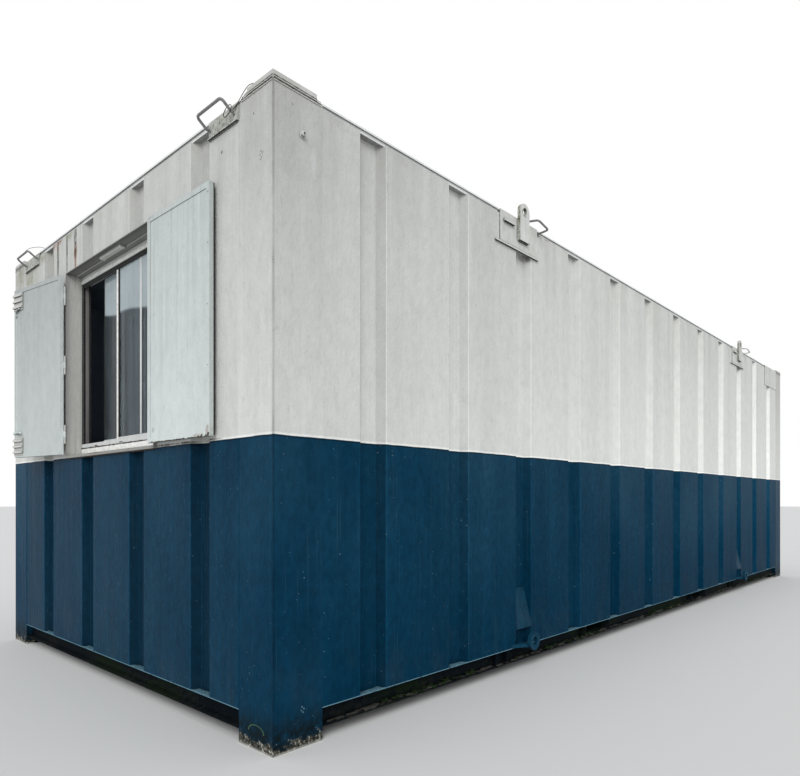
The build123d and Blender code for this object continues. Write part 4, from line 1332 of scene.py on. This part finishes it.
@dataclass
class RoofDetails(Details):
    """Roof screws, the wires on the corner hoops and the beads at the ledges."""

    screw_pitch: float = 0.30
    screw_radius: float = 0.009
    roof_height: float = 2.5545
    edge: float = 0.085
    hoop_runs: tuple[tuple[float, float], ...] = ((0.255, 0.441), (2.535, 2.745))
    rod_radius: float = 0.0075
    foot_height: float = 2.532
    ledge_plate: float = 0.005
    ledge_bottom: float = 2.492
    ledge_margins: tuple[float, float] = (0.029, 0.008)
    loose_wires: tuple[tuple[float, tuple[Triple, ...]], ...] = (
        (0.0015, ((0.262, 0.018, 2.534), (0.232, 0.008, 2.556), (0.200, 0.004, 2.582),
                  (0.172, 0.001, 2.600), (0.150, -0.006, 2.608), (0.112, -0.018, 2.599))),
        (0.0013, ((0.250, 0.014, 2.541), (0.222, 0.003, 2.560), (0.190, -0.002, 2.581),
                  (0.160, -0.012, 2.599))),
        (0.0014, ((2.664, 0.062, 2.573), (2.610, 0.040, 2.604), (2.520, 0.012, 2.600),
                  (2.440, -0.008, 2.576))),
    )

    def build(self) -> None:
        """Make every piece on the roof and its edge."""
        self._screws()
        self._hoop_welds()
        self._wires()

    def _screws(self) -> None:
        """Washered screws that hold the roof sheet down along both sides."""
        screws = Sculpt("roof_screws")
        whole = self.layout.length - 2.0 * self.edge
        count = int(whole / self.screw_pitch)
        for index in range(count + 1):
            for back in (False, True):
                screws.screw(self.layout.front(self.edge + whole * index / count, -self.edge,
                                               self.roof_height, back),
                             (0.0, 0.0, 1.0), self.screw_radius)
        screws.place(self.palette[Coat.STEEL], Slot.STEEL)

    def _hoop_welds(self) -> None:
        """A ring of weld round each foot of the corner hoops, and beads along the ledges."""
        beads, end = Sculpt("hoop_welds"), self.layout.end
        for runs, (before, after) in zip(self.hoop_runs,
                                         (self.ledge_margins, self.ledge_margins[::-1])):
            for run in runs:
                foot = end(run, self.ledge_plate + 0.0015, self.foot_height)
                beads.tube(circle(foot, Vector((0.0, 1.0, 0.0)), UP, self.rod_radius, 14),
                           0.0030, 6, 0.3, True)
            beads.weld([end(run, 0.001, self.ledge_bottom - 0.001)
                        for run in (runs[0] - before, runs[1] + after)], 0.0026)
        beads.place(self.palette[Coat.LEDGE], Slot.WHITE)

    def _wires(self) -> None:
        """Old tie wires: a ring round one hoop foot and loose bent ends."""
        wires, end = Sculpt("tie_wires"), self.layout.end
        wires.tube(circle(end(0.2755, 0.024, 2.540), Vector((0.0, 0.0270, 0.0)),
                          Vector((0.006, 0.0, 0.0255)), 1.0, 28), 0.0016, closed=True)
        for radius, places in self.loose_wires:
            wires.tube(rounded([end(*place) for place in places]), radius)
        wires.place(self.palette[Coat.WIRE], Slot.STEEL)


@dataclass
class LiftingDetails(Details):
    """Beads, the eye's worn liner and painted shadow lines on the lifting points of both long walls.
    """

    trough_runs: tuple[float, ...] = (1.753, 6.023)
    plate: float = 0.005
    plate_span: tuple[float, float] = (-0.244, 0.140)
    plate_bottom: float = 2.397
    roof_top: float = 2.574
    lug_offset: float = -0.024
    lug_half: float = 0.049
    lug_thick: float = 0.019
    lug_bottom: float = 2.449
    eye_height: float = 2.618
    eye_inner: float = 0.022
    eye_outer: float = 0.027

    def build(self) -> None:
        """Make the pieces of all four lifting points."""
        beads, eyes = Sculpt("lifting_welds"), Sculpt("lifting_eye_liners")
        # painted shadow: dark lines beside each lug and along the plate's near edge and ledge
        dirt = Sculpt("lifting_joint_dirt")
        for trough in self.trough_runs:
            for back in (False, True):
                at = partial(self.layout.front, back=back)
                self._beads(beads, trough, at)
                self._eye(eyes, trough, at, 1.0 if back else -1.0)
                self._dirt(dirt, trough, at)
        beads.place(self.palette[Coat.LEDGE], Slot.WHITE)
        eyes.place(self.palette[Coat.LIFTING], Slot.WHITE)
        dirt.place(self.palette[Coat.SHADOW_LINE], Slot.WHITE)

    def _spans(self, trough: float) -> tuple[float, float, float, float]:
        """The runs of the plate's two sides and the lug's two sides at a trough."""
        return (*(trough + offset for offset in self.plate_span),
                trough + self.lug_offset - self.lug_half, trough + self.lug_offset + self.lug_half)

    def _beads(self, beads: Sculpt, trough: float, at: partial) -> None:
        """Beads round the plate and round the lug that stands on it.

        Args:
            beads: the mesh they are added to.
            trough: the run of the trough's middle.
            at: gives a point by the wall.
        """
        near, far, left, right = self._spans(trough)
        out, low, top = self.plate + 0.001, self.plate_bottom + 0.002, self.roof_top - 0.006
        for run in (near, far):
            beads.weld([at(run, 0.001, self.plate_bottom), at(run, 0.001, self.roof_top - 0.004)],
                       0.0032)
        beads.weld([at(near, out, low), at(far, out, low)], 0.0034)
        beads.weld([at(left, out, top), at(left, out, self.lug_bottom),
                    at(right, out, self.lug_bottom), at(right, out, top)], 0.0040)

    def _eye(self, eyes: Sculpt, trough: float, at: partial, side: float) -> None:
        """The turned ring in the lug's eye, proud of both its faces.

        Args:
            eyes: the mesh it is added to.
            trough: the run of the trough's middle.
            at: gives a point by the wall.
            side: -1 on the front wall and 1 on the back wall.
        """
        inner, outer, thick = self.eye_inner, self.eye_outer, self.lug_thick
        eyes.turned(((inner, 0.001), (inner, thick + 0.0005), (inner + 0.0015, thick + 0.002),
                     (outer - 0.001, thick + 0.002), (outer, thick)),
                    at(trough + self.lug_offset, self.plate, self.eye_height),
                    (0.0, side, 0.0), 32)

    def _dirt(self, dirt: Sculpt, trough: float, at: partial) -> None:
        """Dark lines of painted shadow beside the lug and along the plate's near edge and ledge.

        Args:
            dirt: the mesh they are added to.
            trough: the run of the trough's middle.
            at: gives a point by the wall.
        """
        near, far, left, right = self._spans(trough)
        ledge = self.plate_bottom + 0.006
        for run, out, low, top in (
                (left - 0.005, self.plate, self.lug_bottom, self.roof_top - 0.006),
                (right + 0.005, self.plate, self.lug_bottom, self.roof_top - 0.006),
                (near - 0.004, 0.0, self.plate_bottom, self.roof_top - 0.010)):
            dirt.line([at(run, out, low), at(run, out, top)], 0.0016)
        dirt.line([at(near, self.plate, ledge), at(far, self.plate, ledge)], 0.0014)


@dataclass
class WindowDetails(Details):
    """Gaskets, sash furniture, reveal trim and the cracked board under the window."""

    opening: tuple[float, float] = (0.930, 2.030)
    sill: float = 1.232
    head: float = 2.307
    frame_back: float = 0.070
    frame_face: float = 0.025
    pane_bead: float = 1.251
    bead_width: float = 0.020

    def build(self) -> None:
        """Make every piece round the window."""
        self._gaskets()
        self._sashes()
        self._reveal()
        self._sill()
        self._head_and_jamb()
        self._lamp_caps()

    def _strip(self, name: str, coat: Coat, low: Sequence[float], high: Sequence[float],
               bevel: float) -> None:
        """A piece that is one strip.

        Args:
            name: the piece's name.
            coat: its finish.
            low: one corner.
            high: the opposite corner.
            bevel: how far its edges are softened.
        """
        piece = Sculpt(name)
        piece.bar(low, high, bevel)
        piece.place(self.palette[coat], Slot.ALUMINIUM)

    def _gaskets(self) -> None:
        """A rubber line round both panes, on their outer faces."""
        for node in ("fixed_sash_glass", "sliding_sash_glass"):
            low, high = corners_of(node)
            x = low.x - 0.0004
            piece = Sculpt(node.replace("glass", "gasket"))
            piece.line([Vector((x, y, z)) for y, z in (
                (low.y, low.z), (high.y, low.z), (high.y, high.z), (low.y, high.z),
                (low.y, low.z))], 0.0028, 0.10, 0.0)
            piece.place(self.palette[Coat.RUBBER], Slot.ALUMINIUM)

    def _sashes(self) -> None:
        """The sliding sash's pull rail, the bright stile and pane bead, and the drain slots."""
        trim = Sculpt("sash_trim")
        low, high = corners_of("sliding_sash")
        middle = (low.z + high.z) / 2.0
        trim.bar((low.x - 0.009, low.y + 0.004, middle - 0.11),
                 (low.x + 0.001, low.y + 0.010, middle + 0.11), 0.002)
        trim.bar((low.x - 0.004, low.y, low.z + 0.004), (low.x + 0.001, low.y + 0.006, high.z - 0.004))
        trim.place(self.palette[Coat.FRAME], Slot.ALUMINIUM)
        low, high = corners_of("fixed_sash")
        pane_low, pane_high = corners_of("fixed_sash_glass")
        split = pane_high.y + 0.010
        bead = self.layout.low.y + self.pane_bead
        self._strip("meeting_stile_trim", Coat.SILL, (low.x - 0.0020, split, low.z + 0.004),
                    (low.x + 0.001, high.y - 0.001, high.z - 0.004), 0.0012)
        self._strip("meeting_stile_wedge", Coat.RUBBER,
                    (low.x - 0.0008, pane_high.y - 0.002, pane_low.z),
                    (low.x + 0.001, split, pane_high.z), 0.0004)
        self._strip("fixed_pane_bead", Coat.FRAME, (pane_low.x - 0.0016, bead, pane_low.z + 0.002),
                    (pane_low.x + 0.0004, bead + self.bead_width, pane_high.z - 0.002), 0.0006)
        slots = Sculpt("frame_drain_slots")
        near, far = self.opening
        for share in (0.2, 0.5, 0.8):
            point = self.layout.end(near + (far - near) * share, -self.frame_back + 0.0006,
                                    corners_of("window_frame")[0].z + 0.008)
            half = Vector((0.0005, 0.018, 0.0025))
            slots.bar(point - half, point + half, 0.0004)
        slots.place(self.palette[Coat.RUBBER], Slot.ALUMINIUM)

    def _reveal(self) -> None:
        """Sealant in the reveal's corners and dirt in the joints of the sill."""
        end, (near, far), face = self.layout.end, self.opening, -self.frame_back
        seal = Sculpt("reveal_sealant")
        seal.weld([end(run, face + 0.001, z) for run, z in (
            (near + 0.001, self.sill), (near + 0.001, self.head),
            (far - 0.001, self.head), (far - 0.001, self.sill))], 0.0035)
        seal.place(self.palette[Coat.REVEAL], Slot.WHITE)
        crack = Sculpt("sill_joint_dirt")
        for out, z, radius in ((0.0010, corners_of("window_surround")[0].z - 0.001, 0.0042),
                               (face, corners_of("window_frame")[0].z, 0.0030),
                               (face, self.sill + 0.002, 0.0024)):
            crack.line([end(near + 0.004, out, z), end(far - 0.004, out, z)], radius, wobble=0.55)
        crack.place(self.palette[Coat.WIRE], Slot.WHITE)

    def _sill(self) -> None:
        """The flaking board under the frame, and the flakes that lie on the sill."""
        end, (near, far), face = self.layout.end, self.opening, -self.frame_back
        board = Sculpt("sill_board")
        board.bar(end(near + 0.003, face - 0.0002, self.sill + 0.005),
                  end(far - 0.003, face + 0.0016, corners_of("window_frame")[0].z - 0.004), 0.0008)
        rng = board.rng
        for _ in range(46):
            size = rng.uniform(0.003, 0.009)
            board.lump(end(rng.uniform(near + 0.35, far - 0.10), rng.uniform(-0.062, 0.004),
                           self.sill + 0.001), (size * 0.9, size * 1.5, size * 0.30), 0.4)
        board.place(self.palette[Coat.SILL], Slot.WHITE)

    def _head_and_jamb(self) -> None:
        """A brighter strip on the frame's head as painted light, dark strips under the head and on the
        far jamb as painted shadow, and three strips on the far jamb.
        """
        end, (near, far), face = self.layout.end, self.opening, -self.frame_back
        frame_low, frame_high = corners_of("window_frame")
        foot, top = frame_low.z + self.frame_face, frame_high.z - self.frame_face
        jamb = far - self.frame_face
        # painted light: a brighter strip on the head's front face
        self._strip("head_trim", Coat.SILL, end(near + 0.003, face - 0.0002, top + 0.003),
                    end(far - 0.003, face + 0.0014, top + self.frame_face - 0.002), 0.0006)
        # painted shadow: a dark band under the head in front of the sash, and a dark strip down the
        # far jamb's face
        shade = Sculpt("head_brush_seal")
        sash, start = corners_of("fixed_sash")[0].x, self.layout.low.y
        shade.bar((sash - 0.0030, start + near + self.frame_face, top - 0.0250),
                  (sash + 0.0002, start + jamb, top + 0.0005), 0.0005)
        shade.bar(end(jamb - 0.0010, face - 0.0003, foot), end(jamb + 0.0120, face + 0.0008, top),
                  0.0004)
        shade.place(self.palette[Coat.RUBBER], Slot.ALUMINIUM)
        for name, coat, front, rear in (("jamb_brush_seal", Coat.RUBBER, 0.072, 0.086),
                                        ("jamb_timber_strip", Coat.TIMBER, 0.086, 0.106),
                                        ("jamb_inner_seal", Coat.RUBBER, 0.106, 0.117)):
            self._strip(name, coat, end(jamb - 0.0015, -rear, foot),
                        end(jamb + 0.0090, -front, top), 0.0006)

    def _lamp_caps(self) -> None:
        """End caps on the lamp in the reveal's head."""
        caps, proud = Sculpt("lamp_end_caps"), 0.0012
        low, high = corners_of("soffit_lamp")
        for y in (low.y, high.y - 0.010):
            caps.bar((low.x - proud, y - proud, low.z - proud),
                     (high.x + proud, y + 0.010 + proud, high.z), 0.004)
        caps.place(self.palette[Coat.FRAME], Slot.LAMP)


@dataclass
class ShutterDetails(Details):
    """The dark strip of painted shadow, rivets and rusty lip of the near leaf, and the far leaf's
    bolts.
    """

    past_flat: float = 1.0
    hinge_margin: float = 0.0104
    thickness: float = 0.020
    shadow_strip_depth: float = 0.0050
    keeper_depth: float = 0.108

    def build(self) -> None:
        """Make every piece on the shutters."""
        self._near_leaf()
        self._keeper_bolts()

    def _on_face(self, y: float, out: float, z: float) -> Vector:
        """A point by the near leaf's outer face, which leans as far as the leaf is past flat.

        Args:
            y: its place along the window end.
            out: its distance outside the face.
            z: its height.

        Returns:
            The point.
        """
        low, high = corners_of(NEAR_LEAF)
        lean = math.tan(math.radians(self.past_flat))
        return Vector((low.x + (high.y - self.hinge_margin - y) * lean - out, y, z))

    def _near_leaf(self) -> None:
        """A dark strip behind the free edge as painted shadow in the gap to the wall, rivets along it
        and a rusty lip at the bottom.
        """
        low, high = corners_of(NEAR_LEAF)
        face, rear = self._on_face, self.thickness
        # painted shadow: a black strip in the gap behind the free edge
        edge = Sculpt("near_leaf_edge_seal")
        edge.bar(face(low.y, -rear + 0.0008, low.z + 0.003),
                 face(low.y, -rear - self.shadow_strip_depth, high.z - 0.003) + Vector((0.0, 0.006, 0.0)),
                 0.0008)
        edge.place(self.palette[Coat.RUBBER], Slot.WHITE, NEAR_LEAF)
        rivets = Sculpt("near_leaf_rivets")
        for share in (0.04, 0.28, 0.52, 0.76, 0.96):
            z = low.z + (high.z - low.z) * share
            rivets.screw(face(low.y + 0.012, -0.0002, z), (-1.0, 0.0, 0.0), 0.0035)
        rivets.place(self.palette[Coat.NEAR_LEAF], Slot.WHITE, NEAR_LEAF)
        lip = Sculpt("near_leaf_rusty_lip")
        lip.line([face(low.y + 0.004, -0.0012, low.z + 0.0015),
                  face(high.y - 0.030, -0.0012, low.z + 0.0015)], 0.0022, wobble=0.55)
        for share, size in ((0.02, 0.010), (0.05, 0.006), (0.11, 0.008), (0.16, 0.005),
                            (0.90, 0.006)):
            y = low.y + (high.y - low.y) * share
            lip.lump(face(y, -0.0004, low.z + size * 0.8), (0.0012, size, size * 0.7), 0.45)
        lip.place(self.palette[Coat.WIRE], Slot.WHITE, NEAR_LEAF)

    def _keeper_bolts(self) -> None:
        """The hook under the upper keeper and the bolt with its knob at the lower one."""
        low, high = corners_of("shutter_latches")
        x, y = low.x + 0.0130, high.y - 0.020
        top, bolt = high.z - self.keeper_depth, low.z + self.keeper_depth + 0.030
        bolts = Sculpt("keeper_bolts")
        bolts.tube(rounded([Vector((x, y + run, top + rise)) for run, rise in (
            (-0.060, 0.004), (-0.030, -0.002), (-0.008, -0.012), (-0.002, -0.030),
            (-0.012, -0.040))]), 0.0045, 10)
        bolts.tube([Vector((x, y - 0.080, bolt)), Vector((x, y + 0.012, bolt))], 0.0060, 12)
        bolts.turned(((0.0, -0.002), (0.0085, -0.002), (0.0105, 0.004), (0.0105, 0.010),
                      (0.006, 0.016), (0.0, 0.017)),
                     Vector((x, y + 0.004, bolt)), (0.0, 1.0, 0.0), 16)
        bolts.place(self.palette[Coat.FAR_LEAF], Slot.WHITE, FAR_LEAF)


@dataclass
class TieDetails(Details):
    """Beads and packed dirt at the tie down points and along the base rails."""

    trough_runs: tuple[float, ...] = (1.753, 6.023)
    plate_top: float = 0.462
    plate_foot: float = 0.232
    trough_depth: float = 0.036
    trough_floor: float = 0.045
    trough_mouth: float = 0.082
    rail_top: float = 0.134
    rail_bottom: float = 0.054
    first_trough: float = 0.533
    trough_pitch: float = 0.610
    front_troughs: int = 12
    end_troughs: int = 4
    moss_patches: tuple[tuple[float, float], ...] = (
        (0.95, 0.35), (2.15, 0.45), (3.95, 0.40), (4.20, 0.30), (6.8, 0.30))

    def build(self) -> None:
        """Make every piece low on the walls."""
        self._plate_beads()
        self._mud()
        self._dust()
        self._moss()

    def _plate_beads(self) -> None:
        """Beads up both sides and over the top of each sloping plate."""
        beads, sunk = Sculpt("tie_plate_welds"), -self.trough_depth + 0.004
        for trough in self.trough_runs:
            for back in (False, True):
                beads.weld([self.layout.front(trough + run, out, z, back) for run, out, z in (
                    (-self.trough_mouth, -0.001, self.plate_foot),
                    (-self.trough_floor, sunk, self.plate_top),
                    (self.trough_floor, sunk, self.plate_top),
                    (self.trough_mouth, -0.001, self.plate_foot))], 0.0030)
        beads.place(self.palette[Coat.BLUE], Slot.BLUE)

    def _mud(self) -> None:
        """Clods along the rails' lower flanges."""
        mud = Sculpt("rail_mud")
        rng, margin = mud.rng, 0.30
        run = margin
        while run < self.layout.length - margin:
            for back in (False, True):
                depth = rng.uniform(0.006, 0.030)
                size = rng.uniform(0.008, 0.026)
                mud.lump(self.layout.front(run, -depth, self.rail_bottom + 0.006, back),
                         (size * 1.6, size * 0.5, size * 0.30), 0.35)
            run += rng.uniform(0.02, 0.09)
        mud.place(self.palette[Coat.MUD], Slot.BASE)

    def _dust(self) -> None:
        """Packed dust on the rails' top flanges, at the foot of every trough."""
        dust = Sculpt("trough_dust")
        rng = dust.rng
        beds = [(partial(self.layout.front, back=back), index, 14, (1.6, 0.9))
                for index in range(self.front_troughs) for back in (False, True)]
        beds += [(self.layout.end, index, 16, (0.9, 1.6)) for index in range(self.end_troughs)]
        for place, index, count, (long, wide) in beds:
            trough = self.first_trough + self.trough_pitch * index
            for _ in range(count):
                size = rng.uniform(0.006, 0.013)
                dust.lump(place(trough + rng.uniform(-0.058, 0.058), -rng.uniform(0.006, 0.028),
                                self.rail_top), (size * long, size * wide, size * 0.35), 0.35)
        dust.place(self.palette[Coat.DUST], Slot.BASE)

    def _moss(self) -> None:
        """Cushions of moss inside the front rail."""
        moss = Sculpt("rail_moss")
        rng = moss.rng
        for run, reach in self.moss_patches:
            for _ in range(36):
                size = rng.uniform(0.004, 0.010)
                moss.lump(self.layout.front(run + rng.uniform(-reach, reach),
                                            -rng.uniform(0.004, 0.038),
                                            self.rail_bottom + rng.uniform(0.005, 0.018)),
                          (size * 1.8, size * 0.8, size * 0.7), 0.4)
        moss.place(self.palette[Coat.MOSS], Slot.BASE)


@dataclass
class DoorDetails(Details):
    """Drip rail, seals, lock and hinge screws of the door in the back wall."""

    drip_over: float = 0.020
    drip_out: float = 0.040
    seal_gap: float = 0.002
    handle_middle: float = 0.023
    lock_rise: float = 0.045
    hinge_half: float = 0.055
    screw_step: float = 0.036

    def build(self) -> None:
        """Make every piece on the door."""
        outward = (0.0, 1.0, 0.0)
        low, high = corners_of("door_leaf")
        frame_low, frame_high = corners_of("door_frame")
        wall, top, over = frame_high.y, frame_high.z, self.drip_over
        drip = Sculpt("door_drip_rail")
        for out, foot in ((-0.001, 0.006), (self.drip_out - 0.004, -0.012)):
            drip.bar((frame_low.x - over, wall + out, top + foot),
                     (frame_high.x + over, wall + self.drip_out, top + 0.010), 0.001)
        drip.place(self.palette[Coat.TRIM], Slot.WHITE)
        seal, gap = Sculpt("door_seal"), self.seal_gap
        seal.line([Vector((x, high.y - gap, z)) for x, z in (
            (low.x - gap, low.z + 0.01), (low.x - gap, high.z + gap),
            (high.x + gap, high.z + gap), (high.x + gap, low.z + 0.01))], 0.0018, 0.1, 0.0)
        seal.place(self.palette[Coat.RUBBER], Slot.STEEL)
        handle_low, handle_high = corners_of("door_handle")
        middle = handle_high.x - self.handle_middle
        lock = Sculpt("door_lock")
        lock.turned(((0.0, 0.007), (0.0085, 0.007), (0.0100, 0.009), (0.0100, 0.0125),
                     (0.0080, 0.0135), (0.0, 0.0135)),
                    Vector((middle, high.y - 0.0005, handle_low.z + self.lock_rise)), outward, 20)
        lock.place(self.palette[Coat.STEEL], Slot.STEEL)
        screws = Sculpt("door_screws")
        hinge_low, hinge_high = corners_of("door_hinges")
        start = hinge_low.z + self.hinge_half
        for share in (0.0, 0.5, 1.0):
            z = start + (hinge_high.z - hinge_low.z - 2.0 * self.hinge_half) * share
            for step in (-self.screw_step, 0.0, self.screw_step):
                screws.screw(Vector((hinge_low.x + 0.018, wall + 0.004, z + step)), outward,
                             0.0045)
        for z in (handle_low.z + 0.012, handle_high.z - 0.012):
            screws.screw(Vector((middle, high.y + 0.006, z)), outward, 0.0040)
        screws.place(self.palette[Coat.STEEL], Slot.STEEL)


@dataclass
class Studio:
    """Pale floor, white surroundings, soft light and the camera."""

    layout: Layout
    camera_offset: Triple = (-1.4322, -1.9836, 0.9721)
    turn: float = -47.103
    lens: float = 28.674
    sensor: float = 36.0
    shift: float = 0.1397
    floor_size: float = 200.0
    floor_colour: Colour = (0.78, 0.78, 0.77, 1.0)
    sky: float = 0.62
    sky_colour: Colour = (0.95, 0.97, 1.0, 1.0)
    sun: float = 1.6
    sun_size: float = 35.0
    sun_angles: Triple = (58.0, 0.0, -50.0)

    def build(self) -> None:
        """Make the whole studio."""
        self._floor()
        self._world()
        self._key_light()
        self._camera()

    def _floor(self) -> None:
        """A wide pale floor."""
        bpy.ops.mesh.primitive_plane_add(size=self.floor_size, location=ORIGIN)
        floor = bpy.context.object
        floor.name = "studio_floor"
        floor.data.materials.append(Graph("studio_floor").finish(self.floor_colour, 0.9, gloss=0.1))

    def _world(self) -> None:
        """Even light all round, seen as white."""
        world = bpy.data.worlds.new("studio_surroundings")
        bpy.context.scene.world = world
        world.use_nodes = True
        tree, nodes = Tree(world.node_tree), world.node_tree.nodes
        light = nodes["Background"]
        tree.fill(light, {"Color": self.sky_colour, "Strength": self.sky})
        seen = tree.add("ShaderNodeBackground", {"Color": WHITE_LIGHT, "Strength": 1.0})
        path = tree.add("ShaderNodeLightPath")
        direct = path.outputs["Is Camera Ray"]
        for ray in ("Is Glossy Ray", "Is Transmission Ray"):
            direct = tree.calc("MAXIMUM", direct, path.outputs[ray])
        mix = tree.add("ShaderNodeMixShader", {"Fac": direct, 1: light.outputs[0],
                                               2: seen.outputs[0]})
        tree.fill(nodes["World Output"], {"Surface": mix.outputs[0]})

    def _key_light(self) -> None:
        """A broad soft light from far away."""
        lamp = bpy.data.lights.new("key_light", "SUN")
        lamp.energy = self.sun
        lamp.angle = math.radians(self.sun_size)
        obj = bpy.data.objects.new("key_light", lamp)
        obj.rotation_euler = [math.radians(angle) for angle in self.sun_angles]
        bpy.context.collection.objects.link(obj)

    def _camera(self) -> None:
        """The camera at the photograph's place."""
        camera = bpy.data.cameras.new("view")
        camera.lens = self.lens
        camera.sensor_width = self.sensor
        camera.shift_y = self.shift
        obj = bpy.data.objects.new("view", camera)
        corner = Vector((self.layout.low.x, self.layout.low.y, 0.0))
        obj.location = corner + Vector(self.camera_offset)
        obj.rotation_euler = (math.radians(90.0), 0.0, math.radians(self.turn))
        bpy.context.collection.objects.link(obj)
        bpy.context.scene.camera = obj
        bpy.context.scene.view_settings.view_transform = "Standard"


def main() -> None:
    """Build and dress every piece in order, then the floor, lights and camera."""
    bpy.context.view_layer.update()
    layout = Layout.read()
    palette = Palette(layout)
    Shell(palette).dress()
    for group in (CornerDetails, RoofDetails, LiftingDetails, WindowDetails, ShutterDetails,
                  TieDetails, DoorDetails):
        LOG.info("building %s", group.__name__)
        group(layout, palette).build()
    Studio(layout).build()


if __name__ == "__main__":
    main()
